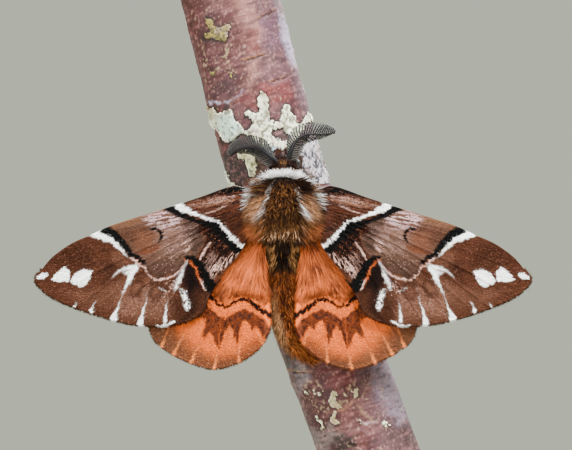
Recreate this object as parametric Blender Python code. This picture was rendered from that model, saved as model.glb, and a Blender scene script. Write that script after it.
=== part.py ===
"""A male Kentish glory moth with spread wings, on a cut length of birch branch held by a display stand.

Units are metres and +Z is up. The branch stands on one short rod over a turned round base. The moth
clings to the branch's front, head up, with its back towards -Y and its right wings towards +X.
The origin is the centre of the base's underside. Every piece of the moth is modelled about the
middle of its thorax, on an empty that places it: x runs out to the side, y back to the bark, z to the head.
"""

import math
import random

import bmesh
import bpy
from mathutils import Vector

MM = 0.001
GAP = 0.3 * MM

# The moth's place, and the sizes that the rest is worked out from
THORAX_PLACE = Vector((0.0, -10.7 * MM, 45.0 * MM))
FOREWING_LENGTH = 28.0 * MM
WING_UNIT = FOREWING_LENGTH / 28.0

# Wings: the forewing lies over the hindwing, and both sweep back towards the bark at their tips
WING_THICKNESS = 0.5 * MM
VEIN_HEIGHT = 0.15 * MM
VEIN_HALF_WIDTH = 0.3
FOREWING_LEVEL = -1.4 * MM
HINDWING_LEVEL = -0.3 * MM
WING_SWEEP = 2.9 * MM
WING_SPAN = 30.0 * MM

# Outlines in millimetres, out from the body's middle line and up from the thorax, leading edge first
FOREWING_OUTLINE = (
    (2.2, 2.2), (5.1, 3.4), (6.7, 3.4), (10.1, 2.2), (13.8, 1.0), (17.4, -0.1), (21.1, -1.3), (23.5, -2.4),
    (26.0, -3.5), (28.4, -5.2), (29.9, -7.0), (30.5, -7.8), (30.1, -8.7), (28.4, -10.1), (25.4, -11.4),
    (21.7, -12.6), (18.1, -13.4), (14.4, -13.5), (11.6, -12.9), (9.8, -11.6), (8.9, -9.4), (7.2, -7.1),
    (5.4, -4.8), (4.0, -2.4), (2.2, 0.0),
)
HINDWING_OUTLINE = (
    (2.0, -0.2), (7.3, -3.0), (11.6, -6.7), (14.6, -10.4), (16.2, -13.2), (16.0, -14.9), (14.8, -16.2),
    (12.0, -17.8), (8.5, -18.8), (5.2, -17.9), (3.0, -16.3), (1.8, -14.4), (1.6, -12.2), (1.9, -9.1),
    (2.2, -6.1), (2.0, -2.7),
)
# Veins in millimetres: where each leaves the root, the point that it bends towards, and where it ends
FOREWING_VEINS = (
    ((2.2, 2.0), (9.5, 1.8), (16.2, 0.2)),
    ((2.2, 1.8), (10.7, 1.0), (20.5, -1.1)),
    ((2.2, 1.7), (13.2, 0.1), (24.2, -2.7)),
    ((2.2, 1.5), (14.4, -0.5), (27.2, -4.3)),
    ((2.2, 1.4), (15.0, -1.0), (30.2, -7.4)),
    ((2.2, 1.2), (14.4, -1.7), (28.4, -10.1)),
    ((2.2, 1.1), (14.4, -2.3), (25.4, -11.4)),
    ((2.2, 0.9), (14.2, -3.1), (23.5, -11.9)),
    ((2.2, 0.7), (13.2, -3.5), (21.0, -12.8)),
    ((2.2, 0.5), (11.7, -3.4), (17.3, -13.5)),
    ((2.2, 0.3), (9.3, -3.4), (14.3, -13.5)),
    ((2.2, 0.2), (7.0, -3.2), (10.2, -12.1)),
)
HINDWING_VEINS = (
    ((2.0, -0.5), (9.2, -5.2), (16.1, -14.4)),
    ((2.0, -0.8), (8.6, -5.6), (14.6, -16.3)),
    ((2.0, -1.1), (7.8, -6.0), (13.2, -17.2)),
    ((2.0, -1.3), (7.2, -6.4), (11.3, -18.1)),
    ((2.0, -1.6), (6.2, -6.8), (8.5, -18.8)),
    ((2.0, -1.9), (5.0, -7.0), (5.6, -18.1)),
    ((2.0, -2.2), (3.8, -7.0), (3.3, -16.6)),
    ((2.0, -2.4), (2.9, -7.0), (1.7, -13.6)),
)
FOREWING_COLUMNS = 10
HINDWING_COLUMNS = 7
OUTLINE_STEPS = 8

# Body under its fur, each size a half width across, front to back and along
THORAX_CORE = Vector((3.4, 3.1, 4.2)) * MM
THORAX_CENTRE = Vector((0.0, 0.0, 0.6)) * MM
THORAX_FRONT = 3.7 * MM
HEAD_SIZE = Vector((1.55, 1.45, 1.45)) * MM
HEAD_CENTRE = Vector((0.0, 0.5, 6.1)) * MM
COLLAR_SIZE = Vector((3.2, 2.9, 2.2)) * MM
COLLAR_CENTRE = Vector((0.0, -0.1, 3.4)) * MM
COLLAR_BACK = THORAX_FRONT + 1.5 * GAP
COLLAR_FRONT = 4.9 * MM
EYE_RADIUS = 0.62 * MM
EYE_CENTRE = Vector((1.5, 0.75, 6.35)) * MM
PALP_PATH = ((0.45, 1.6, 6.7), (0.55, 2.1, 7.4), (0.5, 2.2, 8.1))
PALP_RADII = (0.32, 0.36, 0.22)
ABDOMEN_PATH = (
    (0.0, 0.9, -1.0), (0.0, 1.3, -3.6), (0.1, 1.6, -6.7), (0.1, 1.8, -10.4), (0.4, 2.0, -13.0),
    (1.2, 2.2, -15.2), (2.5, 2.4, -16.7), (3.7, 2.5, -17.7),
)
ABDOMEN_RADII = (1.5, 1.6, 1.6, 1.5, 1.4, 1.2, 0.9, 0.4)

# Locks of fur: length, width and thickness, and how high the tip stands over the body
LOCK_SIDES = 4
LOCK_LOOPS = (0.32, 0.7)
LOCK_SINK = 0.7 * MM
THORAX_LOCK = (3.0 * MM, 1.5 * MM, 0.62 * MM, 1.15 * MM)
THORAX_ROWS = 7
THORAX_ROW_HEIGHTS = (3.35, -2.3)
THORAX_ROW_LOCKS = 6
THORAX_FAN = (1.9, 0.7)
TUFT_LOCK = (2.7 * MM, 1.2 * MM, 0.6 * MM, 1.3 * MM)
TUFT_HEIGHTS = (2.9, 1.9, 0.8)
UNDER_LOCK = (2.2 * MM, 1.4 * MM, 0.6 * MM, 0.75 * MM)
UNDER_HEIGHTS = (2.9, 1.1, -0.9)
UNDER_ANGLES = (120.0, 144.0, 168.0)
UNDER_BACK = -2.9 * MM
BARK_SIDE = 3.95 * MM
FRINGE_HEIGHT = -2.2 * MM
FRINGE_LEVEL = -2.0 * MM
BESIDE_WINGS = 2.9 * MM
COLLAR_ROWS = (
    (11, 0.35 * MM, 0.8, (1.6 * MM, 1.4 * MM, 0.55 * MM, 0.95 * MM)),
    (9, 0.55 * MM, 0.3, (1.8 * MM, 1.4 * MM, 0.55 * MM, 0.7 * MM)),
)
COLLAR_ANGLE = 132.0
COLLAR_LEAN = 0.35
RUFF_RADIUS = 3.25 * MM
HEAD_LOCK = (0.9 * MM, 0.7 * MM, 0.5 * MM, 0.5 * MM)
HEAD_LOCKS = (
    ((0.0, -1.0, -0.2), (0.0, -1.0, -0.6), 0.5), ((-0.9, -0.8, -0.5), (-0.8, -0.6, -0.2), 0.5),
    ((0.9, -0.8, -0.5), (0.8, -0.6, -0.2), 0.5), ((0.0, -0.5, 1.0), (0.0, 0.6, 0.8), 1.0),
    ((-0.5, 0.0, 1.0), (-0.3, 0.8, 0.6), 1.0), ((0.5, 0.0, 1.0), (0.3, 0.8, 0.6), 1.0),
)
ABDOMEN_LOCK = (2.9 * MM, 1.35 * MM, 0.55 * MM, 0.5 * MM)
ABDOMEN_RINGS = 9
ABDOMEN_RING_ANGLES = ((0.0, 84.0, 130.0, 180.0, 230.0, 276.0), (24.0, 106.0, 155.0, 205.0, 254.0, 336.0))
ABDOMEN_FUR_START = 3.1 * MM
BETWEEN_WINGS = 1.0 * MM
UNDER_FRINGE = -5.2 * MM
TAIL_LOCK = (2.4 * MM, 1.0 * MM, 0.55 * MM, 0.5 * MM)
TAIL_LOCKS = 8
SPREAD_SEED = 11

# Antennae: the stem from the head out to the tip, in millimetres, and the comb on each side of it
ANTENNA_LEFT = (
    (-0.4, -0.6, 6.3), (-1.6, -0.7, 7.2), (-2.6, -0.4, 8.0), (-3.6, 0.0, 8.3), (-4.6, 0.5, 8.2),
    (-5.6, 0.9, 7.9), (-6.4, 1.3, 7.3),
)
ANTENNA_RIGHT = (
    (0.4, -0.6, 6.3), (0.9, -0.7, 7.7), (1.4, -0.4, 8.8), (2.2, 0.0, 9.6), (3.4, 0.5, 9.9), (4.9, 0.9, 9.9),
    (6.4, 1.3, 10.1),
)
ANTENNA_RADII = (0.32, 0.3, 0.28, 0.27, 0.26, 0.26, 0.2)
COMB_LENGTH = 1.6 * MM
COMB_THICKNESS = 0.52 * MM
COMB_TEETH = 9
COMB_SPAN = (0.2, 0.95)

# Branch and stand
BRANCH_AXIS_X = 0.75 * MM
BRANCH_LEAN = 0.302
BRANCH_BEND = 1.1
BRANCH_RADIUS_TOP = 6.0 * MM
BRANCH_RADIUS_FOOT = 6.3 * MM
BRANCH_FOOT = 12.6 * MM
BRANCH_TOP = 74.6 * MM
BRANCH_SIDES = 24
BRANCH_RINGS = 11
BASE_RADIUS = 24.0 * MM
BASE_HEIGHT = 4.0 * MM
BASE_BEVEL = 0.8 * MM
BASE_SIDES = 48
ROD_RADIUS = 1.6 * MM
ROD_SIDES = 20

# Legs in millimetres: hip and knee, the heights of ankle and toe, and their angles round the branch
LEGS = {
    "front": ((1.5, 2.2, 2.4), (2.9, 3.9, 4.4), (5.6, 7.4), (20.0, 25.0)),
    "mid": ((1.7, 2.3, 0.6), (5.0, 4.2, 1.4), (0.0, -1.4), (54.0, 80.0)),
    "hind": ((1.5, 2.2, -0.9), (4.4, 4.2, -3.4), (-7.2, -9.4), (42.0, 62.0)),
}
LEG_RADII = (0.55, 0.5, 0.42, 0.36, 0.3, 0.27, 0.25)
KNEE_CLEARANCE = 0.9 * MM
# The bark's unevenness stays within this share, and the legs follow the leaning branch by the next
BARK_SWELL = 1.025
BODY_SHARE = 0.7


def clear_scene():
    """Removes whatever the file opened with."""
    for thing in list(bpy.data.objects):
        bpy.data.objects.remove(thing)


def collection(name):
    """A new collection in the scene."""
    made = bpy.data.collections.new(name)
    bpy.context.scene.collection.children.link(made)
    return made


def finish_material(name, colour, roughness, metallic=0.0):
    """A Principled BSDF with one colour, roughness and metallic value."""
    material = bpy.data.materials.new(name)
    material.use_nodes = True
    shader = material.node_tree.nodes["Principled BSDF"]
    shader.inputs["Base Color"].default_value = (*colour, 1.0)
    shader.inputs["Roughness"].default_value = roughness
    shader.inputs["Metallic"].default_value = metallic
    return material


def add_piece(name, bm, group, material, parent=None):
    """Makes a bmesh into a named object with its faces turned outwards."""
    bmesh.ops.recalc_face_normals(bm, faces=bm.faces)
    mesh = bpy.data.meshes.new(name)
    bm.to_mesh(mesh)
    bm.free()
    piece = bpy.data.objects.new(name, mesh)
    group.objects.link(piece)
    piece.parent = parent
    mesh.materials.append(material)
    return piece


def make_cutter(piece):
    """Marks a piece as a shape that only cuts others."""
    piece.hide_render = True
    piece.display_type = "WIRE"
    return piece


def cut(piece, cutter, name):
    """Takes the cutter's shape out of a piece."""
    modifier = piece.modifiers.new(name, "BOOLEAN")
    modifier.operation = "DIFFERENCE"
    modifier.solver = "EXACT"
    modifier.object = cutter


def smooth_curve(points, steps):
    """A Catmull-Rom curve through the points, with the given number of steps between two of them."""
    line = [Vector(p) for p in points]
    made = []
    for before, here, after, beyond in zip([line[0], *line], line, line[1:], [*line[2:], line[-1]]):
        for k in range(steps):
            t = k / steps
            made.append(
                0.5 * (2 * here + (after - before) * t + (2 * before - 5 * here + 4 * after - beyond) * t * t
                       + (3 * here - before - 3 * after + beyond) * t ** 3)
            )
    return [*made, line[-1]]


def ellipsoid(centre, size, around, along):
    """A bmesh ball drawn out to three half widths."""
    bm = bmesh.new()
    bmesh.ops.create_uvsphere(bm, u_segments=around, v_segments=along, radius=1.0)
    bmesh.ops.scale(bm, vec=size, verts=bm.verts)
    bmesh.ops.translate(bm, vec=centre, verts=bm.verts)
    return bm


def keep_between(bm, low, high):
    """Cuts a closed bmesh flat at a lower and an upper height, and closes the cuts."""
    for height, side in ((low, -1.0), (high, 1.0)):
        whole = [*bm.verts, *bm.edges, *bm.faces]
        sliced = bmesh.ops.bisect_plane(
            bm, geom=whole, plane_co=(0.0, 0.0, height), plane_no=(0.0, 0.0, side), clear_outer=True
        )
        rim = [e for e in sliced["geom_cut"] if isinstance(e, bmesh.types.BMEdge)]
        bmesh.ops.holes_fill(bm, edges=rim)


def tube(name, points, radii, sides, group, material, parent):
    """A round tube with filled ends along the points, which taper by their radii, as a closed mesh."""
    data = bpy.data.curves.new(name, "CURVE")
    data.dimensions = "3D"
    data.bevel_depth = 1.0
    data.bevel_resolution = sides // 2 - 2
    data.use_fill_caps = True
    spline = data.splines.new("POLY")
    spline.points.add(len(points) - 1)
    for point, place, radius in zip(spline.points, points, radii):
        point.co = (*place, 1.0)
        point.radius = radius
    wire = bpy.data.objects.new(name, data)
    group.objects.link(wire)
    mesh = bpy.data.meshes.new_from_object(wire.evaluated_get(bpy.context.evaluated_depsgraph_get()))
    bpy.data.objects.remove(wire)
    bpy.data.curves.remove(data)
    bm = bmesh.new()
    bm.from_mesh(mesh)
    bpy.data.meshes.remove(mesh)
    bmesh.ops.remove_doubles(bm, verts=bm.verts, dist=0.01 * MM)
    return add_piece(name, bm, group, material, parent)


def spread(values, steps):
    """The values with steps - 1 more worked out between each two."""
    made = []
    for low, high in zip(values, values[1:]):
        made += [low + (high - low) * k / steps for k in range(steps)]
    return [*made, values[-1]]


def wing_level(out, level):
    """How far back the middle of a wing's thickness lies, at a distance out from the body."""
    return level + WING_SWEEP * (abs(out) / WING_SPAN) ** 1.7


def along_outline(line, share):
    """The point at a share of the outline's length."""
    lengths = [0.0]
    for here, after in zip(line, line[1:]):
        lengths.append(lengths[-1] + (after - here).length)
    target = share * lengths[-1]
    for i, far in enumerate(lengths[1:]):
        if far >= target:
            part = (target - lengths[i]) / max(far - lengths[i], 1e-9)
            return line[i].lerp(line[i + 1], part)
    return line[-1]


def nearest_share(line, place):
    """The share of the outline's length at which it passes closest to a place."""
    total, best, found = 0.0, None, 0.0
    for here, after in zip(line, line[1:]):
        if best is None or (here - place).length < best:
            best, found = (here - place).length, total
        total += (after - here).length
    return found / total


def wing_rows(outline, veins, columns):
    """Rows of points from the wing's root to its edge, from the leading edge round to the inner one.
    Three rows make each vein: its ridge, and its two feet a little to either side."""
    line = smooth_curve(outline, OUTLINE_STEPS)
    shares = [nearest_share(line, Vector(end)) for _, _, end in veins]
    steps = [k / columns for k in range(columns + 1)]
    first, last = 0.8 * shares[0], 1 - 0.72 * (1 - shares[-1])
    ridges = [[along_outline(line, first * t) for t in steps]]
    for (root, bend, _), share in zip(veins, shares):
        start, middle, end = Vector(root), Vector(bend), along_outline(line, share)
        ridges.append([start * (1 - t) ** 2 + middle * 2 * t * (1 - t) + end * t * t for t in steps])
    ridges.append([along_outline(line, 1 - (1 - last) * t) for t in steps])

    def foot(ridge, neighbour):
        shares = [min(0.4, VEIN_HALF_WIDTH / max((b - a).length, 1e-9)) for a, b in zip(ridge, neighbour)]
        return [a.lerp(b, share) for a, b, share in zip(ridge, neighbour, shares)]

    rows = [ridges[0]]
    for before, ridge, after in zip(ridges, ridges[1:], ridges[2:]):
        rows += [foot(ridge, before), ridge, foot(ridge, after)]
    return [*rows, ridges[-1]]


def double_sheet(bm, back_of):
    """Gives an open sheet its thickness: a copy with each vertex at its place behind, joined along the rim.
    Both faces are split into the same triangles, so that they can't cross."""
    bmesh.ops.triangulate(bm, faces=bm.faces, quad_method="FIXED")
    rim = [e.verts[:] for e in bm.edges if e.is_boundary]
    twin = bmesh.ops.duplicate(bm, geom=[*bm.verts, *bm.edges, *bm.faces])["vert_map"]
    for vert, place in back_of.items():
        twin[vert].co = place
    for a, b in rim:
        bm.faces.new((a, b, twin[b], twin[a]))
    bmesh.ops.triangulate(bm, faces=[f for f in bm.faces if len(f.verts) > 3])


def build_wing(name, side, level, rows, group, material, parent):
    """One wing: a grid laid on its rows and raised along the veins on both faces."""
    columns = len(rows[0])
    bm = bmesh.new()
    bmesh.ops.create_grid(bm, x_segments=len(rows) - 1, y_segments=columns - 1, size=1.0)
    order = sorted(bm.verts, key=lambda v: (round(v.co.x, 4), round(v.co.y, 4)))
    back_of = {}
    for index, vert in enumerate(order):
        r, c = divmod(index, columns)
        out, up = rows[r][c] * WING_UNIT
        ridge = r % 3 == 2 and 0 < c < columns - 1
        half = WING_THICKNESS / 2 + (VEIN_HEIGHT if ridge else 0.0)
        middle = wing_level(out, level)
        vert.co = (side * out, middle - half, up)
        back_of[vert] = Vector((side * out, middle + half, up))
    double_sheet(bm, back_of)
    return add_piece(name, bm, group, material, parent)


def lock(group, material, parent, path, across, width, thickness):
    """One tapered piece along a curve: it starts at the path's first point, is drawn towards the second and
    ends in a point at the third. across is the direction of its width."""
    start, middle, end = path
    bm = bmesh.new()
    bmesh.ops.create_cone(bm, cap_ends=True, segments=LOCK_SIDES, radius1=1.0, radius2=0.5, depth=1.0)
    for share in LOCK_LOOPS:
        whole = [*bm.verts, *bm.edges, *bm.faces]
        bmesh.ops.bisect_plane(bm, geom=whole, plane_co=(0, 0, share - 0.5), plane_no=(0, 0, 1))
    for vert in bm.verts:
        t = vert.co.z + 0.5
        angle = math.atan2(vert.co.y, vert.co.x)
        tangent = ((middle - start) * (1 - t) + (end - middle) * t).normalized()
        side = (across - tangent * across.dot(tangent)).normalized()
        thick = tangent.cross(side)
        taper = max(0.0, 1.0 - t ** 2.2) ** 0.7
        place = start * (1 - t) ** 2 + middle * 2 * t * (1 - t) + end * t * t
        vert.co = place + (side * math.cos(angle) * width + thick * math.sin(angle) * thickness) * taper / 2
    bmesh.ops.remove_doubles(bm, verts=bm.verts, dist=0.02 * MM)
    return add_piece("lock", bm, group, material, parent)


def fuse(core, group):
    """Joins a group of pieces to the core in one union, and keeps the result's largest closed surface."""
    union = core.modifiers.new("fused", "BOOLEAN")
    union.operation = "UNION"
    union.solver = "EXACT"
    union.operand_type = "COLLECTION"
    union.collection = group
    bpy.context.view_layer.update()
    mesh = bpy.data.meshes.new_from_object(core.evaluated_get(bpy.context.evaluated_depsgraph_get()))
    core.modifiers.clear()
    for piece in list(group.objects):
        bpy.data.objects.remove(piece)
    bpy.data.collections.remove(group)
    bm = bmesh.new()
    bm.from_mesh(mesh)
    bpy.data.meshes.remove(mesh)
    keep_largest(bm)
    bmesh.ops.triangulate(bm, faces=bm.faces)
    bm.to_mesh(core.data)
    bm.free()
    return core


def keep_largest(bm):
    """Deletes all but the connected surface that has the most vertices."""
    left = set(bm.verts)
    groups = []
    while left:
        found = {left.pop()}
        waiting = list(found)
        while waiting:
            here = waiting.pop()
            near = {e.other_vert(here) for e in here.link_edges} & left
            left -= near
            found |= near
            waiting += near
        groups.append(found)
    largest = max(groups, key=len)
    bmesh.ops.delete(bm, geom=[v for v in bm.verts if v not in largest], context="VERTS")


def on_body(centre, size, height, angle):
    """A point on a ball of the body and the way out of it: height is along the body, angle from its back."""
    k = math.sqrt(max(0.0, 1.0 - ((height - centre.z) / size.z) ** 2))
    place = Vector((centre.x + size.x * k * math.sin(angle), centre.y - size.y * k * math.cos(angle), height))
    out = place - centre
    normal = Vector((out.x / size.x ** 2, out.y / size.y ** 2, out.z / size.z ** 2)).normalized()
    return place, normal


def drawn_onto(centre, size, rise, place):
    """The place moved in or out until it stands a given height over a ball of the body."""
    out = place - centre
    scale = math.sqrt(sum((out[i] / (size[i] + rise)) ** 2 for i in range(3)))
    return centre + out / scale


def lying_path(centre, size, place, normal, lie, length, rise):
    """The curve of a lock that leaves the body at a place and lies along it."""
    along = (lie - normal * lie.dot(normal)).normalized()
    return (
        place - normal * LOCK_SINK,
        drawn_onto(centre, size, rise * 1.15, place + along * length * 0.42 + normal * rise),
        drawn_onto(centre, size, rise, place + along * length + normal * rise),
    )


def clear_of_thorax_neighbours(place, thickness):
    """Moves a point of the thorax's fur above or below the wings, over the abdomen and off the bark."""
    margin = thickness / 2 + VEIN_HEIGHT + WING_THICKNESS / 2 + GAP
    x, y, z = place
    if y < HINDWING_LEVEL:
        if abs(x) > BESIDE_WINGS:
            y = min(y, FOREWING_LEVEL - margin)
        if z < FRINGE_HEIGHT:
            y = min(y, FRINGE_LEVEL)
    else:
        if abs(x) > BESIDE_WINGS:
            y = max(y, HINDWING_LEVEL + margin)
        y = min(y, BARK_SIDE)
        z = max(z, UNDER_BACK)
    return Vector((x, y, z))


def meets_leg(path, width, legs):
    """Whether a lock would come too near to a leg."""
    start, middle, end = path
    steps = (0.3, 0.5, 0.7, 0.85, 1.0)
    samples = [start * (1 - t) ** 2 + middle * 2 * t * (1 - t) + end * t * t for t in steps]
    for line, radii in legs:
        for here, after, radius in zip(line, line[1:], radii):
            for place in samples:
                share = min(1.0, max(0.0, (place - here).dot(after - here) / (after - here).length_squared))
                if (place - here.lerp(after, share)).length < radius + width / 2 + GAP:
                    return True
    return False


def add_thorax_locks(group, material, parent, legs):
    """The thorax's fur: rows that lie back over it, tufts out over the wings' roots, and some beneath."""
    draw = random.Random(SPREAD_SEED)
    centre, size = THORAX_CENTRE, THORAX_CORE

    def place_lock(height, angle, lie, sizes):
        length, width, thickness, rise = sizes
        length *= draw.uniform(0.9, 1.1)
        rise *= draw.uniform(0.85, 1.15)
        place, normal = on_body(centre, size, height, angle)
        start, middle, end = lying_path(centre, size, place, normal, lie, length, rise)
        if sizes is TUFT_LOCK:
            end = place + lie.normalized() * length + normal * rise * 0.5
        middle = clear_of_thorax_neighbours(middle, thickness)
        end = clear_of_thorax_neighbours(end, thickness)
        path = (start, middle, end)
        if not meets_leg(path, width, legs):
            lock(group, material, parent, path, lie.cross(normal), width, thickness)

    def side_limit(height, width):
        k = math.sqrt(1.0 - ((height - centre.z) / size.z) ** 2)
        lowest = -FOREWING_LEVEL + WING_THICKNESS / 2 + VEIN_HEIGHT + GAP
        return math.acos(min(1.0, lowest / (size.y * k))) - width / 2 / size.x

    first, last = THORAX_ROW_HEIGHTS
    for i in range(THORAX_ROWS):
        height = (first + (last - first) * i / (THORAX_ROWS - 1)) * MM
        count = THORAX_ROW_LOCKS - i % 2
        limit = side_limit(height, THORAX_LOCK[1])
        fan = THORAX_FAN[0] + (THORAX_FAN[1] - THORAX_FAN[0]) * math.sqrt(i / (THORAX_ROWS - 1))
        for k in range(count):
            share = 2 * k / (count - 1) - 1
            angle = limit * share + math.radians(draw.uniform(-3.0, 3.0))
            place_lock(height, angle, Vector((fan * share, 0.0, -1.0)), THORAX_LOCK)
    for side in (-1.0, 1.0):
        for height in TUFT_HEIGHTS:
            limit = side_limit(height * MM, TUFT_LOCK[1])
            place_lock(height * MM, side * limit, Vector((side, 0.0, -0.7)), TUFT_LOCK)
        for height in UNDER_HEIGHTS:
            for angle in UNDER_ANGLES:
                lie = Vector((0.3 * side, 0.0, -1.0))
                place_lock(height * MM, side * math.radians(angle), lie, UNDER_LOCK)


def clear_of_face(place):
    """Moves a point of the collar's fur out from the head until it is clear of the eyes."""
    out = Vector((place.x, place.y - HEAD_CENTRE.y, 0.0))
    short = RUFF_RADIUS - out.length
    return place + out.normalized() * short if short > 0 else place


def add_collar_locks(group, material, parent, legs):
    """The collar's fur, which stands up round the back of the head."""
    draw = random.Random(SPREAD_SEED + 1)
    for count, above, flare, (length, width, thickness, rise) in COLLAR_ROWS:
        for k in range(count):
            angle = math.radians(COLLAR_ANGLE * (2 * k / (count - 1) - 1) + draw.uniform(-2.0, 2.0))
            place, normal = on_body(COLLAR_CENTRE, COLLAR_SIZE, COLLAR_BACK + above, angle)
            out = flare * draw.uniform(0.6, 1.4)
            turn = angle + COLLAR_LEAN * draw.uniform(-1.0, 1.0)
            lie = Vector((out * math.sin(turn), -out * math.cos(turn), 1.0))
            reach = length * draw.uniform(0.75, 1.2)
            height = rise * draw.uniform(0.8, 1.2)
            path = lying_path(COLLAR_CENTRE, COLLAR_SIZE, place, normal, lie, reach, height)
            root = place - Vector((normal.x, normal.y, 0.0)).normalized() * LOCK_SINK
            path = (root, clear_of_face(path[1]), clear_of_face(path[2]))
            if not meets_leg(path, width, legs):
                lock(group, material, parent, path, lie.cross(normal), width, thickness)


def add_head_locks(group, material, parent):
    """The short tufts on the head, behind the antennae and over the face."""
    length, width, thickness, rise = HEAD_LOCK
    for out, lie, share in HEAD_LOCKS:
        place = drawn_onto(HEAD_CENTRE, HEAD_SIZE, 0.0, HEAD_CENTRE + Vector(out) * MM)
        normal = (place - HEAD_CENTRE).normalized()
        path = lying_path(HEAD_CENTRE, HEAD_SIZE, place, normal, Vector(lie), length * share, rise)
        lock(group, material, parent, path, Vector(lie).cross(normal), width, thickness)


def walk(line, radii, far):
    """The place, the direction and the radius at a distance along a tube, straight on past its end."""
    for here, after, low, high in zip(line, line[1:], radii, radii[1:]):
        step = (after - here).length
        if far <= step:
            break
        far -= step
    else:
        far += step
    share = far / step
    return here + (after - here) * share, (after - here).normalized(), low + (high - low) * min(share, 1.0)


def add_abdomen_locks(group, material, parent, line, radii):
    """The abdomen's fur in rings, below the wings' inner edges, and the tuft at the tail."""
    draw = random.Random(SPREAD_SEED + 2)
    total = sum((b - a).length for a, b in zip(line, line[1:]))
    first, last = ABDOMEN_FUR_START, total - TAIL_LOCK[0]
    rings = [(first + (last - first) * i / ABDOMEN_RINGS, ABDOMEN_LOCK) for i in range(ABDOMEN_RINGS)]
    rings.append((last, TAIL_LOCK))
    for ring, (far, sizes) in enumerate(rings):
        length, width, thickness, rise = sizes
        if sizes is TAIL_LOCK:
            angles = [360.0 * k / TAIL_LOCKS for k in range(TAIL_LOCKS)]
        else:
            angles = ABDOMEN_RING_ANGLES[ring % 2]
        for degrees in angles:
            angle = math.radians(degrees + draw.uniform(-3.0, 3.0))
            reach = length * draw.uniform(0.88, 1.08)
            path = []
            for step, height in ((0.0, -LOCK_SINK), (0.42 * reach, rise * 1.15), (reach, rise)):
                place, tangent, radius = walk(line, radii, far + step)
                right = tangent.cross(Vector((0.0, 1.0, 0.0))).normalized()
                back = right.cross(tangent).normalized()
                out = right * math.sin(angle) + back * math.cos(angle)
                place = place + out * (radius + height)
                if step:
                    place = clear_of_abdomen_neighbours(place, thickness)
                path.append(place)
            lock(group, material, parent, path, tangent.cross(out), width, thickness)


def clear_of_abdomen_neighbours(place, thickness):
    """Moves a point of the abdomen's fur below the wings and below the thorax's fringe."""
    margin = thickness / 2 + VEIN_HEIGHT + WING_THICKNESS / 2 + GAP
    x, y, z = place
    if abs(x) > BETWEEN_WINGS:
        y = max(y, HINDWING_LEVEL + margin)
    if z > UNDER_FRINGE:
        y = max(y, FRINGE_LEVEL + thickness + 2 * GAP)
    return Vector((x, y, z))


def comb_reach(share, row):
    """How far an antenna's comb stands out at a share of its length: 1 is the front row, which is longest past
    the middle, and -1 the back row, which is longest near the root."""
    place = max(0.03, 1.12 * share - 0.14) if row > 0 else 0.82 * share + 0.18
    return COMB_LENGTH * math.sin(math.pi * min(1.0, place)) ** 0.6


def comb_direction(tangent, side, share, row):
    """The way in which a row of the comb points: across the stem, a little towards its tip, and for the
    back row turning away behind the stem as it goes out."""
    across = Vector((0.0, 1.0, 0.0)).cross(tangent).normalized() * -side
    turn = math.radians(12.0) if row > 0 else math.radians(6.0 + 80.0 * share)
    way = across * row * math.cos(turn) + Vector((0.0, 1.0, 0.0)) * math.sin(turn)
    return (way + tangent * 0.35).normalized()


def build_antenna(name, side, stem, group, material, parent):
    """An antenna: its stem, and two rows of tapered teeth that stand out from it like a feather's."""
    line = [p * MM for p in smooth_curve(stem, 2)]
    core = tube(name, line, [r * MM for r in spread(ANTENNA_RADII, 2)], 6, group, material, parent)
    teeth = collection(f"{name}_teeth")
    last = len(line) - 1
    for i in range(COMB_TEETH):
        share = COMB_SPAN[0] + (COMB_SPAN[1] - COMB_SPAN[0]) * i / (COMB_TEETH - 1)
        c, part = divmod(share * last, 1)
        c = int(c)
        place = line[c].lerp(line[c + 1], part)
        tangent = (line[c + 1] - line[c]).normalized()
        for row in (1, -1):
            way = comb_direction(tangent, side, share, row)
            reach = comb_reach(share, row)
            path = (place, place + way * reach * 0.5, place + (way + tangent * 0.12) * reach)
            lock(teeth, material, parent, path, tangent, COMB_THICKNESS, COMB_THICKNESS)
    return fuse(core, teeth)


def branch_middle(height):
    """Where the branch's middle lies across, at a height over the thorax: it leans, and bends a little."""
    return BRANCH_AXIS_X - BRANCH_LEAN * height + BRANCH_BEND * height ** 2


def build_branch(group, material):
    """The cut length of branch: a leaning trunk, a little uneven, with flat ends level with the floor."""
    bm = bmesh.new()
    bmesh.ops.create_cone(bm, cap_ends=True, segments=BRANCH_SIDES, radius1=1.0, radius2=1.0, depth=1.0)
    for k in range(1, BRANCH_RINGS):
        whole = [*bm.verts, *bm.edges, *bm.faces]
        bmesh.ops.bisect_plane(bm, geom=whole, plane_co=(0, 0, k / BRANCH_RINGS - 0.5), plane_no=(0, 0, 1))
    across = math.hypot(1.0, BRANCH_LEAN)
    for vert in bm.verts:
        share = vert.co.z + 0.5
        height = BRANCH_FOOT + (BRANCH_TOP - BRANCH_FOOT) * share
        angle = math.atan2(vert.co.y, vert.co.x)
        uneven = 1 + 0.012 * math.sin(5 * share * math.pi + angle) + 0.01 * math.cos(3 * angle + 9 * share)
        radius = (BRANCH_RADIUS_FOOT + (BRANCH_RADIUS_TOP - BRANCH_RADIUS_FOOT) * share) * uneven
        middle = branch_middle(height - THORAX_PLACE.z)
        vert.co = (middle + radius * across * math.cos(angle), radius * math.sin(angle), height)
    return add_piece("perch_branch", bm, group, material)


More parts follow.
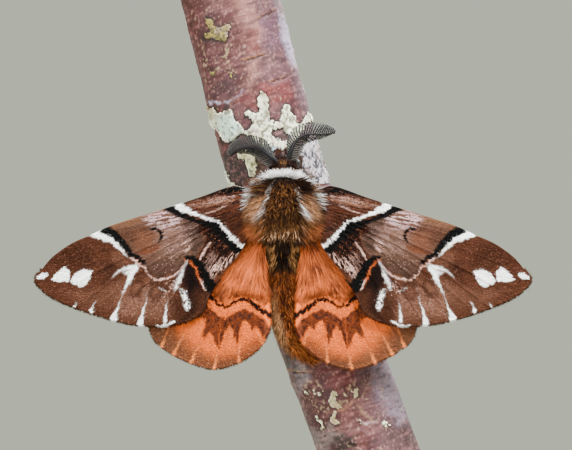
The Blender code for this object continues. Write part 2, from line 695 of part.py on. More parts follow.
def build_stand(group, wood, brass):
    """The round base with a soft upper edge, and the rod that rises from it to the branch's cut foot."""
    bm = bmesh.new()
    bmesh.ops.create_cone(
        bm, cap_ends=True, segments=BASE_SIDES, radius1=BASE_RADIUS, radius2=BASE_RADIUS, depth=BASE_HEIGHT
    )
    bmesh.ops.translate(bm, vec=(0, 0, BASE_HEIGHT / 2), verts=bm.verts)
    top = [e for e in bm.edges if all(v.co.z > BASE_HEIGHT * 0.9 for v in e.verts)]
    bmesh.ops.bevel(bm, geom=top, offset=BASE_BEVEL, segments=2, profile=0.5, affect="EDGES", material=-1)
    add_piece("stand_base", bm, group, wood)

    bm = bmesh.new()
    low, high = BASE_HEIGHT + GAP, BRANCH_FOOT - GAP
    bmesh.ops.create_cone(
        bm, cap_ends=True, segments=ROD_SIDES, radius1=ROD_RADIUS, radius2=ROD_RADIUS, depth=high - low
    )
    middle = branch_middle(BRANCH_FOOT - THORAX_PLACE.z)
    bmesh.ops.translate(bm, vec=(middle, 0, (low + high) / 2), verts=bm.verts)
    add_piece("stand_rod", bm, group, brass)


def bark_point(height, angle, off):
    """A point beside the bark in the moth's own frame: the angle from its front, and the clearance off it."""
    share = (height + THORAX_PLACE.z - BRANCH_FOOT) / (BRANCH_TOP - BRANCH_FOOT)
    radius = BRANCH_RADIUS_FOOT + (BRANCH_RADIUS_TOP - BRANCH_RADIUS_FOOT) * share
    radius = radius * BARK_SWELL + off
    across = math.hypot(1.0, BRANCH_LEAN)
    x = branch_middle(height) + radius * across * math.sin(angle)
    return Vector((x, -radius * math.cos(angle) - THORAX_PLACE.y, height))


def bark_angle(height, x):
    """The angle round the branch at which a point of its front has the given place across."""
    share = (x - branch_middle(height)) / (BRANCH_RADIUS_FOOT * math.hypot(1.0, BRANCH_LEAN))
    return math.asin(max(-1.0, min(1.0, share)))


def leg_line(side, sizes):
    """A leg's middle line: thigh out from the hip, shin down to the bark, and the foot laid round it."""
    hip, knee, heights, angles = sizes
    hip = Vector((side * hip[0], hip[1], hip[2])) * MM
    knee = Vector((side * knee[0], knee[1], knee[2])) * MM
    knee.y = min(knee.y, bark_point(knee.z, bark_angle(knee.z, knee.x), KNEE_CLEARANCE).y)
    near, far = (math.radians(a) * side for a in angles)
    ankle_height, toe_height = (h * MM for h in heights)
    off = GAP + LEG_RADII[-2] * MM
    points = [hip, hip.lerp(knee, 0.5), knee]
    for t in (0.0, 0.33, 0.67, 1.0):
        height = ankle_height + (toe_height - ankle_height) * t
        angle = BODY_SHARE * bark_angle(height, 0.0) + near + (far - near) * t
        points.append(bark_point(height, angle, off))
    return points


def main():
    """Builds the stand, the branch and the moth, each piece a named object."""
    clear_scene()
    parts = collection("kentish_glory_moth")
    cutters = collection("cutters")
    fur_brown = finish_material("thorax_fur", (0.16, 0.10, 0.05), 0.9)
    fur_white = finish_material("collar_fur", (0.82, 0.78, 0.74), 0.9)
    fur_orange = finish_material("abdomen_fur", (0.45, 0.22, 0.07), 0.9)
    horn = finish_material("antenna_horn", (0.05, 0.045, 0.04), 0.6)
    eye = finish_material("eye_black", (0.01, 0.01, 0.012), 0.2)
    fore = finish_material("forewing_scales", (0.16, 0.075, 0.045), 0.7)
    hind = finish_material("hindwing_scales", (0.60, 0.22, 0.07), 0.7)
    leg = finish_material("leg_fur", (0.18, 0.10, 0.05), 0.85)
    bark = finish_material("birch_bark", (0.22, 0.08, 0.07), 0.6)
    wood = finish_material("base_wood", (0.05, 0.025, 0.014), 0.4)
    brass = finish_material("rod_brass", (0.7, 0.5, 0.22), 0.25, 1.0)

    build_stand(parts, wood, brass)
    build_branch(parts, bark)

    moth = bpy.data.objects.new("moth", None)
    parts.objects.link(moth)
    moth.location = THORAX_PLACE

    grown = Vector((GAP, GAP, GAP))
    bm = ellipsoid(THORAX_CENTRE, THORAX_CORE + grown, 20, 12)
    near_thorax = make_cutter(add_piece("clear_of_thorax", bm, cutters, horn, moth))
    bm = ellipsoid(HEAD_CENTRE, HEAD_SIZE + grown, 16, 10)
    near_head = make_cutter(add_piece("clear_of_head", bm, cutters, horn, moth))

    limbs = {}
    for side in (-1.0, 1.0):
        for place_name, sizes in LEGS.items():
            limbs[place_name, side] = leg_line(side, sizes)
    legs = [(line, [r * MM for r in LEG_RADII]) for line in limbs.values()]

    bm = ellipsoid(THORAX_CENTRE, THORAX_CORE, 20, 12)
    keep_between(bm, -10 * MM, THORAX_FRONT)
    thorax = add_piece("thorax", bm, parts, fur_brown, moth)
    locks = collection("thorax_locks")
    add_thorax_locks(locks, fur_brown, moth, legs)
    fuse(thorax, locks)

    bm = ellipsoid(COLLAR_CENTRE, COLLAR_SIZE, 20, 12)
    keep_between(bm, COLLAR_BACK, COLLAR_FRONT)
    collar = add_piece("collar", bm, parts, fur_white, moth)
    locks = collection("collar_locks")
    add_collar_locks(locks, fur_white, moth, legs)
    cut(collar, near_head, "room_for_head")
    fuse(collar, locks)

    head = add_piece("head", ellipsoid(HEAD_CENTRE, HEAD_SIZE, 16, 10), parts, fur_brown, moth)
    locks = collection("head_locks")
    add_head_locks(locks, fur_brown, moth)
    fuse(head, locks)

    line = [p * MM for p in smooth_curve(ABDOMEN_PATH, 2)]
    radii = [r * MM for r in spread(ABDOMEN_RADII, 2)]
    abdomen = tube("abdomen", line, radii, 12, parts, fur_orange, moth)
    locks = collection("abdomen_locks")
    add_abdomen_locks(locks, fur_orange, moth, line, radii)
    cut(abdomen, near_thorax, "room_for_thorax")
    fuse(abdomen, locks)

    fore_rows = wing_rows(FOREWING_OUTLINE, FOREWING_VEINS, FOREWING_COLUMNS)
    hind_rows = wing_rows(HINDWING_OUTLINE, HINDWING_VEINS, HINDWING_COLUMNS)
    for word, side in (("left", -1.0), ("right", 1.0)):
        forewing = build_wing(f"forewing_{word}", side, FOREWING_LEVEL, fore_rows, parts, fore, moth)
        cut(forewing, near_thorax, "root")
        hindwing = build_wing(f"hindwing_{word}", side, HINDWING_LEVEL, hind_rows, parts, hind, moth)
        cut(hindwing, near_thorax, "root")
        place = Vector((side * EYE_CENTRE.x, EYE_CENTRE.y, EYE_CENTRE.z))
        ball = add_piece(f"eye_{word}", ellipsoid(place, Vector((EYE_RADIUS,) * 3), 14, 8), parts, eye, moth)
        cut(ball, near_head, "root")
        path = [Vector((side * x, y, z)) * MM for x, y, z in PALP_PATH]
        palp = tube(f"palp_{word}", path, [r * MM for r in PALP_RADII], 8, parts, leg, moth)
        cut(palp, near_head, "root")
        stem = ANTENNA_LEFT if side < 0 else ANTENNA_RIGHT
        antenna = build_antenna(f"antenna_{word}", side, stem, parts, horn, moth)
        cut(antenna, near_head, "root")
        for place_name in LEGS:
            line = limbs[place_name, side]
            limb = tube(f"leg_{place_name}_{word}", line, [r * MM for r in LEG_RADII], 8, parts, leg, moth)
            cut(limb, near_thorax, "root")


main()
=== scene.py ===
"""The looks of a Kentish glory moth on its birch branch and stand: scales, fur, feelers, legs, bark and
lichen.

Lengths are in millimetres in the moth's own frame, unless a name says otherwise: x runs out to its
right, y back to the bark and z to its head, from the middle of its thorax. MM turns them into the
scene's metres.
"""

import math

import bmesh
import bpy
import numpy as np
from bpy.props import FloatProperty, FloatVectorProperty, PointerProperty
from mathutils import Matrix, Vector


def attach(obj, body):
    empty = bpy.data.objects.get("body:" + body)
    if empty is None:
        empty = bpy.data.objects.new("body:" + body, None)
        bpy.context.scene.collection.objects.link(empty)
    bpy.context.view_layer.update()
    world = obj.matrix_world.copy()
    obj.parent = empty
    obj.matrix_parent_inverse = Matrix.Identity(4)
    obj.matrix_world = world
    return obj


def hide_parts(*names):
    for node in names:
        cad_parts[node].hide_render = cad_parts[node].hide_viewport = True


bl_info = {
    "name": "Kentish Glory Moth",
    "version": (1, 0, 0),
    "blender": (4, 5, 0),
    "location": "3D View > Sidebar > Moth",
    "description": "Dresses the packed model of a moth on a branch with scales, fur, bark and lichen",
    "category": "Add Mesh",
}

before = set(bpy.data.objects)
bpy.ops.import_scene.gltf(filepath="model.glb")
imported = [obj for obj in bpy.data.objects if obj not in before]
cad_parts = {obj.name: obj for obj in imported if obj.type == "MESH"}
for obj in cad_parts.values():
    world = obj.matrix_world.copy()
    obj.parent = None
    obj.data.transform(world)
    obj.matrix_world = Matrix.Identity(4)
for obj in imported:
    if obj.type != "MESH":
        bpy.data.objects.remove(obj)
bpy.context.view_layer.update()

MM = 0.001
THORAX_PLACE = np.array((0.0, -10.7, 45.0))

# How the photograph was taken: its size, the pixels at the thorax's middle, and a pixel's size at the wings
PHOTO_SIZE = (572, 450)
PIXEL = 0.122
THORAX_PIXEL = (283.0, 215.0)
CAMERA_FAR = 350.0
WING_PLANE = -12.1
SENSOR = 36.0

# How the camera's film shows light: its mix of the channels, its range in stops and its curve. LIGHT_LEVEL
# is how brightly a white surface is lit
FILM_MIX = ((0.8425, 0.0784, 0.0792), (0.0423, 0.8785, 0.0792), (0.0424, 0.0784, 0.8791))
FILM_STOPS = (-12.474, 4.026)
FILM_CURVE = (15.5, -40.14, 31.96, -6.868, 0.4298, 0.1191, -0.00232)
LIGHT_LEVEL = 2.6

# The left and right of a pair, with the sign of their x
SIDES = (("left", -1), ("right", 1))

# Wings, as the solids have them
WING_HALF = 0.25
SCALE_DEPTH = 0.06
VEIN_HEIGHT = 0.15
FOREWING_LEVEL = -1.4
HINDWING_LEVEL = -0.3
WING_SWEEP = 2.9
WING_SPAN = 30.0
FOREWING_OUTLINE = (
    (2.2, 2.2), (5.1, 3.4), (6.7, 3.4), (10.1, 2.2), (13.8, 1.0), (17.4, -0.1), (21.1, -1.3), (23.5, -2.4),
    (26.0, -3.5), (28.4, -5.2), (29.9, -7.0), (30.5, -7.8), (30.1, -8.7), (28.4, -10.1), (25.4, -11.4),
    (21.7, -12.6), (18.1, -13.4), (14.4, -13.5), (11.6, -12.9), (9.8, -11.6), (8.9, -9.4), (7.2, -7.1),
    (5.4, -4.8), (4.0, -2.4), (2.2, 0.0),
)
HINDWING_OUTLINE = (
    (2.0, -0.2), (7.3, -3.0), (11.6, -6.7), (14.6, -10.4), (16.2, -13.2), (16.0, -14.9), (14.8, -16.2),
    (12.0, -17.8), (8.5, -18.8), (5.2, -17.9), (3.0, -16.3), (1.8, -14.4), (1.6, -12.2), (1.9, -9.1),
    (2.2, -6.1), (2.0, -2.7),
)
FOREWING_VEINS = (
    ((2.2, 2.0), (9.5, 1.8), (16.2, 0.2)),
    ((2.2, 1.8), (10.7, 1.0), (20.5, -1.1)),
    ((2.2, 1.7), (13.2, 0.1), (24.2, -2.7)),
    ((2.2, 1.5), (14.4, -0.5), (27.2, -4.3)),
    ((2.2, 1.4), (15.0, -1.0), (30.2, -7.4)),
    ((2.2, 1.2), (14.4, -1.7), (28.4, -10.1)),
    ((2.2, 1.1), (14.4, -2.3), (25.4, -11.4)),
    ((2.2, 0.9), (14.2, -3.1), (23.5, -11.9)),
    ((2.2, 0.7), (13.2, -3.5), (21.0, -12.8)),
    ((2.2, 0.5), (11.7, -3.4), (17.3, -13.5)),
    ((2.2, 0.3), (9.3, -3.4), (14.3, -13.5)),
    ((2.2, 0.2), (7.0, -3.2), (10.2, -12.1)),
)
HINDWING_VEINS = (
    ((2.0, -0.5), (9.2, -5.2), (16.1, -14.4)),
    ((2.0, -0.8), (8.6, -5.6), (14.6, -16.3)),
    ((2.0, -1.1), (7.8, -6.0), (13.2, -17.2)),
    ((2.0, -1.3), (7.2, -6.4), (11.3, -18.1)),
    ((2.0, -1.6), (6.2, -6.8), (8.5, -18.8)),
    ((2.0, -1.9), (5.0, -7.0), (5.6, -18.1)),
    ((2.0, -2.2), (3.8, -7.0), (3.3, -16.6)),
    ((2.0, -2.4), (2.9, -7.0), (1.7, -13.6)),
)

# The body without its fur, head first: the middle of each section, and its half widths across and back
BODY_SECTIONS = (
    (0.0, 0.5, 7.5, 0.05, 0.05), (0.0, 0.5, 7.25, 0.8, 0.75), (0.0, 0.5, 6.8, 1.28, 1.2),
    (0.0, 0.45, 6.1, 1.5, 1.4), (0.0, 0.35, 5.5, 1.55, 1.5), (0.0, 0.1, 4.9, 2.0, 1.85),
    (0.0, 0.0, 4.2, 2.45, 2.25), (0.0, 0.0, 3.4, 2.6, 2.4), (0.0, 0.0, 2.2, 3.05, 2.8),
    (0.0, 0.0, 0.6, 3.3, 3.0), (0.0, 0.1, -1.0, 3.1, 2.8), (0.0, 0.4, -2.4, 2.3, 2.15),
    (0.0, 0.9, -3.4, 1.65, 1.6), (0.0, 1.3, -4.6, 1.5, 1.5), (0.1, 1.6, -6.7, 1.5, 1.5),
    (0.1, 1.8, -10.4, 1.42, 1.42), (0.4, 2.0, -13.0, 1.32, 1.32), (1.2, 2.2, -15.2, 1.12, 1.12),
    (2.5, 2.4, -16.7, 0.84, 0.84), (3.7, 2.5, -17.7, 0.36, 0.36), (4.0, 2.5, -17.95, 0.05, 0.05),
)
EYE_RADIUS = 0.62
EYE_CENTRE = (1.5, 0.75, 6.35)
PALP_PATH = ((0.45, 1.6, 6.7), (0.55, 2.1, 7.4), (0.5, 2.2, 8.1))
PALP_RADII = (0.28, 0.3, 0.18)

ANTENNA_LEFT = (
    (-0.4, -0.6, 6.3), (-1.6, -0.7, 7.2), (-2.6, -0.4, 8.0), (-3.6, 0.0, 8.3), (-4.6, 0.5, 8.2),
    (-5.6, 0.9, 7.9), (-6.4, 1.3, 7.3),
)
ANTENNA_RIGHT = (
    (0.4, -0.6, 6.3), (0.9, -0.7, 7.7), (1.4, -0.4, 8.8), (2.2, 0.0, 9.6), (3.4, 0.5, 9.9), (4.9, 0.9, 9.9),
    (6.4, 1.3, 10.1),
)
COMB_LENGTH = 1.6
COMB_SPAN = (0.16, 0.99)

LEGS = {
    "front": ((1.5, 2.2, 2.4), (2.9, 3.9, 4.4), (5.6, 7.4), (20.0, 25.0)),
    "mid": ((1.7, 2.3, 0.6), (5.0, 4.2, 1.4), (0.0, -1.4), (54.0, 80.0)),
    "hind": ((1.5, 2.2, -0.9), (4.4, 4.2, -3.4), (-7.2, -9.4), (42.0, 62.0)),
}
LEG_RADII = (0.5, 0.42, 0.36, 0.3, 0.24, 0.2, 0.16)
KNEE_CLEARANCE = 0.9
BARK_SWELL = 1.025
BODY_SHARE = 0.7

# Branch and stand, in the world's millimetres
BRANCH_AXIS_X = 0.75
BRANCH_LEAN = 0.302
BRANCH_BEND = 0.0011
BRANCH_RADIUS_TOP = 6.0
BRANCH_RADIUS_FOOT = 6.3
BRANCH_FOOT = 12.6
BRANCH_TOP = 74.6
BASE_RADIUS = 24.0
BASE_HEIGHT = 4.0
ROD_RADIUS = 1.6


# Numbers, curves and colours

def film_table():
    """The film's curve as two rows: the level it shows, and the share of its range of stops that gives it."""
    share = np.linspace(0.2, 0.93, 400)
    return np.polyval(FILM_CURVE, share), share


def paint(red, green, blue, light=None):
    """The shaders' linear values of a surface that the camera shows as this colour, from 0 to 255, in the
    studio's light. With no light given it is a lit surface's; 1 is for light itself."""
    shown, share = film_table()
    mix = np.array(FILM_MIX)
    value = mix @ (np.array((red, green, blue)) / 255)
    low, high = FILM_STOPS
    stops = low + (high - low) * np.interp(value, shown, share)
    linear = np.linalg.solve(mix, 2.0 ** stops)
    return np.clip(linear / (LIGHT_LEVEL if light is None else light), 0.002, 0.9)


def ramp(value, low, high):
    """0 below low, 1 above high, and a smooth rise between the two."""
    share = np.clip((value - low) / (high - low), 0, 1)
    return share * share * (3 - 2 * share)


def unit(vectors):
    """The vectors at length 1."""
    return vectors / np.maximum(np.linalg.norm(vectors, axis=-1, keepdims=True), 1e-9)


def bend(start, middle, end, t):
    """Points of a curve with one bend, at the shares t of it."""
    return start * (1 - t) ** 2 + middle * 2 * t * (1 - t) + end * t * t


def jitter(points, size, seeds):
    """Pairs of smooth noise from -0.5 to 0.5 at each point, by which an outline's edge is made ragged."""
    return np.stack([grain(points, size, seed) for seed in seeds], -1) - 0.5


def lay(colour, other, amount):
    """Covers the colours with another one, by an amount for each of them."""
    colour += (other - colour) * np.clip(amount, 0, 1)[:, None]


def smooth_curve(points, steps):
    """A Catmull-Rom curve through the points, with the given number of steps between two of them."""
    line = np.array(points, float)
    padded = np.vstack((line[:1], line, line[-1:]))
    t = np.linspace(0, 1, steps, endpoint=False)[:, None]
    made = []
    for before, here, after, beyond in zip(padded, padded[1:], padded[2:], padded[3:]):
        square = 2 * before - 5 * here + 4 * after - beyond
        cube = 3 * here - before - 3 * after + beyond
        made.append(0.5 * (2 * here + (after - before) * t + square * t * t + cube * t ** 3))
    return np.vstack((*made, line[-1:]))


def lengths_along(line):
    """How far along the line each of its points is, as a share of its length."""
    steps = np.linalg.norm(np.diff(line, axis=0), axis=1)
    far = np.concatenate(([0], np.cumsum(steps)))
    return far / far[-1]


def along(line, share):
    """The points at shares of the line's length."""
    far = lengths_along(line)
    return np.stack([np.interp(share, far, line[:, i]) for i in range(line.shape[1])], -1)


def nearest(points, starts, ends):
    """For each point: its distance from the nearest of the segments, on which side of it, which one it is,
    and the share along that one."""
    step = ends - starts
    far = points[:, None] - starts
    share = np.clip((far * step).sum(2) / np.maximum((step ** 2).sum(1), 1e-9), 0, 1)
    gap = far - share[..., None] * step
    distance = np.hypot(gap[..., 0], gap[..., 1])
    which = distance.argmin(1)
    row = np.arange(len(points))
    turn = step[which, 0] * far[row, which, 1] - step[which, 1] * far[row, which, 0]
    return distance[row, which], np.sign(turn), which, share[row, which]


def measure(points, line):
    """For each point: its distance from a line, and how far along the line it is nearest, as a share."""
    line = np.array(line, float)
    distance, _, which, share = nearest(points, line[:-1], line[1:])
    far = lengths_along(line)
    return distance, far[which] + (far[which + 1] - far[which]) * share


def patch(points, outline, soft):
    """1 inside a closed outline and 0 outside it, with an edge as soft as given."""
    ring = np.array((*outline, outline[0]), float)
    distance, _ = measure(points, ring)
    x, y = points[:, :1], points[:, 1:]
    low, high = ring[:-1], ring[1:]
    spans = (low[:, 1] > y) != (high[:, 1] > y)
    rise = np.where(high[:, 1] == low[:, 1], 1, high[:, 1] - low[:, 1])
    crossed = spans & (x < low[:, 0] + (y - low[:, 1]) / rise * (high[:, 0] - low[:, 0]))
    inside = crossed.sum(1) % 2 == 1
    return ramp(np.where(inside, distance, -distance), -soft, soft)


def stroke(points, line, widths, soft=0.8):
    """1 on a line and 0 away from it. The widths are spread evenly along the line, and where it is thinner
    than its soft edges it is faint."""
    distance, share = measure(points, line)
    half = np.interp(share, np.linspace(0, 1, len(widths)), widths) / 2
    return ramp(half - distance, -soft, soft) * np.clip(half / soft, 0, 1) ** 0.7


# Cells on each side of the noise's table, which repeats
GRAIN_CELLS = 64


def grain(points, size, seed):
    """Smooth noise from 0 to 1 at each point, with lumps of about the given size."""
    table = np.random.default_rng(seed).random((GRAIN_CELLS, GRAIN_CELLS))
    place = points / size
    cell = np.floor(place).astype(int)
    part = place - cell
    part = part * part * (3 - 2 * part)
    i, j = cell[:, 0] % GRAIN_CELLS, cell[:, 1] % GRAIN_CELLS
    k, l = (i + 1) % GRAIN_CELLS, (j + 1) % GRAIN_CELLS
    low = table[i, j] * (1 - part[:, 0]) + table[k, j] * part[:, 0]
    high = table[i, l] * (1 - part[:, 0]) + table[k, l] * part[:, 0]
    return low * (1 - part[:, 1]) + high * part[:, 1]


def seen(x, z):
    """The pixel at which the photograph shows a place of the wings' plane, given across and up in
    millimetres."""
    return np.stack((THORAX_PIXEL[0] + x / PIXEL, THORAX_PIXEL[1] - z / PIXEL), -1)


def spread_evenly(count, seed):
    """Pairs of numbers from 0 to 1 that fill the square evenly, by a sequence of fixed steps."""
    shift = np.random.default_rng(seed).random(2)
    steps = np.array((0.7548776662, 0.5698402910))
    return (shift + np.arange(1, count + 1)[:, None] * steps) % 1


def thinned(count):
    return int(count * (1.0))


# Materials

def add_node(tree, kind, **settings):
    """A new shader node with its settings; those that name a socket set the socket's value."""
    made = tree.nodes.new(kind)
    for label, value in settings.items():
        if label in made.inputs:
            made.inputs[label].default_value = value
        else:
            setattr(made, label, value)
    return made


def find_node(tree, kind):
    """The first of the tree's nodes of a kind."""
    return next(node for node in tree.nodes if node.bl_idname == kind)


def new_group(name, inputs, outputs):
    """A shader node group with the given sockets, and its two end nodes."""
    tree = bpy.data.node_groups.new(name, "ShaderNodeTree")
    for label, kind, value in inputs:
        made = tree.interface.new_socket(label, in_out="INPUT", socket_type=kind)
        if value is not None:
            made.default_value = value
    for label, kind in outputs:
        tree.interface.new_socket(label, in_out="OUTPUT", socket_type=kind)
    return tree, tree.nodes.new("NodeGroupInput"), tree.nodes.new("NodeGroupOutput")


def mottle_group():
    """Varies a colour by noise in brightness, and gives the noise as a height as well."""
    name = "mottle"
    if name in bpy.data.node_groups:
        return bpy.data.node_groups[name]
    colour, value, vector = "NodeSocketColor", "NodeSocketFloat", "NodeSocketVector"
    tree, start, end = new_group(
        name,
        (("Color", colour, None), ("Place", vector, None), ("Scale", value, 500.0), ("Amount", value, 0.3)),
        (("Color", colour), ("Height", value)),
    )
    link = tree.links.new
    noise = add_node(tree, "ShaderNodeTexNoise", Detail=4.0, Roughness=0.65)
    link(start.outputs["Place"], noise.inputs["Vector"])
    link(start.outputs["Scale"], noise.inputs["Scale"])
    middle = add_node(tree, "ShaderNodeMath", operation="SUBTRACT")
    link(noise.outputs["Fac"], middle.inputs[0])
    middle.inputs[1].default_value = 0.5
    swing = add_node(tree, "ShaderNodeMath", operation="MULTIPLY_ADD")
    link(middle.outputs[0], swing.inputs[0])
    link(start.outputs["Amount"], swing.inputs[1])
    swing.inputs[2].default_value = 1.0
    tint = add_node(tree, "ShaderNodeVectorMath", operation="SCALE")
    link(start.outputs["Color"], tint.inputs[0])
    link(swing.outputs[0], tint.inputs["Scale"])
    link(tint.outputs[0], end.inputs["Color"])
    link(noise.outputs["Fac"], end.inputs["Height"])
    return tree


def finish(name, roughness, scale, amount, bump, colour=None, attribute=None, stretch=(1.0, 1.0, 1.0),
           **sockets):
    """A material whose colour comes from one value or from the mesh's own attribute, varied by fine noise
    that also gives it a relief. The other sockets are set on its shader."""
    made = bpy.data.materials.new(name)
    made.use_nodes = True
    tree = made.node_tree
    link = tree.links.new
    shader = tree.nodes["Principled BSDF"]
    shader.inputs["Roughness"].default_value = roughness
    for label, value in sockets.items():
        shader.inputs[label.replace("_", " ")].default_value = value
    place = add_node(tree, "ShaderNodeTexCoord")
    turn = add_node(tree, "ShaderNodeMapping", Scale=stretch)
    link(place.outputs["Object"], turn.inputs["Vector"])
    mottle = add_node(tree, "ShaderNodeGroup", node_tree=mottle_group())
    mottle.inputs["Scale"].default_value = scale
    mottle.inputs["Amount"].default_value = amount
    link(turn.outputs["Vector"], mottle.inputs["Place"])
    if attribute:
        source = add_node(tree, "ShaderNodeAttribute", attribute_name=attribute)
        link(source.outputs["Color"], mottle.inputs["Color"])
    else:
        mottle.inputs["Color"].default_value = (*colour, 1.0)
    link(mottle.outputs["Color"], shader.inputs["Base Color"])
    relief = add_node(tree, "ShaderNodeBump", Strength=bump, Distance=0.05 * MM)
    link(mottle.outputs["Height"], relief.inputs["Height"])
    link(relief.outputs["Normal"], shader.inputs["Normal"])
    return made


def band_tones(tree, wave, low, high):
    """Colours a finish by the bands of a wave, between two tones."""
    tones = add_node(tree, "ShaderNodeValToRGB")
    for element, tone in zip(tones.color_ramp.elements, (low, high)):
        element.color = (*tone, 1)
    link = tree.links.new
    link(find_node(tree, "ShaderNodeMapping").outputs["Vector"], wave.inputs["Vector"])
    link(wave.outputs["Fac"], tones.inputs["Fac"])
    link(tones.outputs["Color"], find_node(tree, "ShaderNodeGroup").inputs["Color"])
    return tones


# Meshes

def add_piece(name, mesh, surface, replaced=()):
    """Puts a mesh into the scene as a piece that rides on the model's one body."""
    piece = bpy.data.objects.new(name, mesh)
    bpy.context.scene.collection.objects.link(piece)
    mesh.materials.append(surface)
    mesh.shade_smooth()
    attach(piece, "root")
    if replaced:
        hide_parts(*replaced)
    return piece


def corners(mesh):
    """The mesh's vertices as rows of x, y and z."""
    flat = np.empty(len(mesh.vertices) * 3)
    mesh.vertices.foreach_get("co", flat)
    return flat.reshape(-1, 3)


def speckled(tone, points, size, seed):
    """A tone for each point, made lighter and darker by noise."""
    return np.tile(tone, (len(points), 1)) * (0.8 + 0.5 * grain(points, size, seed))[:, None]


def place_corners(mesh, points):
    """Moves the mesh's vertices to the rows of x, y and z."""
    mesh.vertices.foreach_set("co", np.ascontiguousarray(points, np.float32).ravel())
    mesh.update()


def colour_corners(mesh, colours, name="coat"):
    """Stores a colour for each vertex, for the material to read."""
    layer = mesh.attributes.new(name, "FLOAT_COLOR", "POINT")
    full = np.ones((len(colours), 4), np.float32)
    full[:, :3] = np.clip(colours, 0, 1)
    layer.data.foreach_set("color", full.ravel())


def in_world(points):
    """From the moth's own frame in millimetres to the scene's metres."""
    return (points + THORAX_PLACE) * MM


def bmesh_to_mesh(name, bm):
    """Ends a bmesh as a mesh with its faces outward."""
    bmesh.ops.recalc_face_normals(bm, faces=bm.faces)
    mesh = bpy.data.meshes.new(name)
    bm.to_mesh(mesh)
    bm.free()
    return mesh


def face_outward(mesh):
    """Turns the faces of a closed mesh outward."""
    bm = bmesh.new()
    bm.from_mesh(mesh)
    bmesh.ops.recalc_face_normals(bm, faces=bm.faces)
    bm.to_mesh(mesh)
    bm.free()


def bent_ball(name, sides, rings):
    """A ball as a mesh, and the places of its vertices, from which a long closed form is bent."""
    bm = bmesh.new()
    bmesh.ops.create_uvsphere(bm, u_segments=sides, v_segments=rings, radius=1.0)
    mesh = bmesh_to_mesh(name, bm)
    return mesh, corners(mesh)


def double_sheet(name, front, back, keep=None):
    """A closed sheet between two faces, each given as rows of points. keep marks the points that it has,
    where it isn't the whole grid."""
    rows, columns = front.shape[:2]
    bm = bmesh.new()
    bmesh.ops.create_grid(bm, x_segments=rows - 1, y_segments=columns - 1, size=1.0)
    order = sorted(bm.verts, key=lambda v: (round(v.co.x, 5), round(v.co.y, 5)))
    behind = dict(zip(order, back.reshape(-1, 3)))
    for vert, place in zip(order, front.reshape(-1, 3)):
        vert.co = place
    if keep is not None:
        left_out = {vert for vert, kept in zip(order, keep.ravel()) if not kept}
        dropped = [f for f in bm.faces if any(v in left_out for v in f.verts)]
        bmesh.ops.delete(bm, geom=dropped, context="FACES")
        bmesh.ops.delete(bm, geom=[v for v in bm.verts if not v.link_faces], context="VERTS")
        pinched = [v for v in bm.verts if sum(e.is_boundary for e in v.link_edges) > 2]
        bmesh.ops.delete(bm, geom=pinched, context="VERTS")
        bmesh.ops.delete(bm, geom=[v for v in bm.verts if not v.link_faces], context="VERTS")
    rim = [e.verts[:] for e in bm.edges if e.is_boundary]
    twin = bmesh.ops.duplicate(bm, geom=[*bm.verts, *bm.edges, *bm.faces])["vert_map"]
    for vert in [v for v in behind if v.is_valid]:
        twin[vert].co = behind[vert]
    for a, b in rim:
        bm.faces.new((a, b, twin[b], twin[a]))
    bmesh.ops.remove_doubles(bm, verts=bm.verts, dist=0.004)
    return bmesh_to_mesh(name, bm)


def side_vectors(line):
    """For each point of a line its tangent, and two directions across it that turn as little as they can."""
    tangent = unit(np.gradient(line, axis=0))
    start = np.cross(tangent[0], (0.0, 0.0, 1.0) if abs(tangent[0][2]) < 0.9 else (1.0, 0.0, 0.0))
    right = [unit(start)]
    for way in tangent[1:]:
        right.append(unit(right[-1] - way * (right[-1] @ way)))
    right = np.array(right)
    return tangent, right, np.cross(tangent, right)


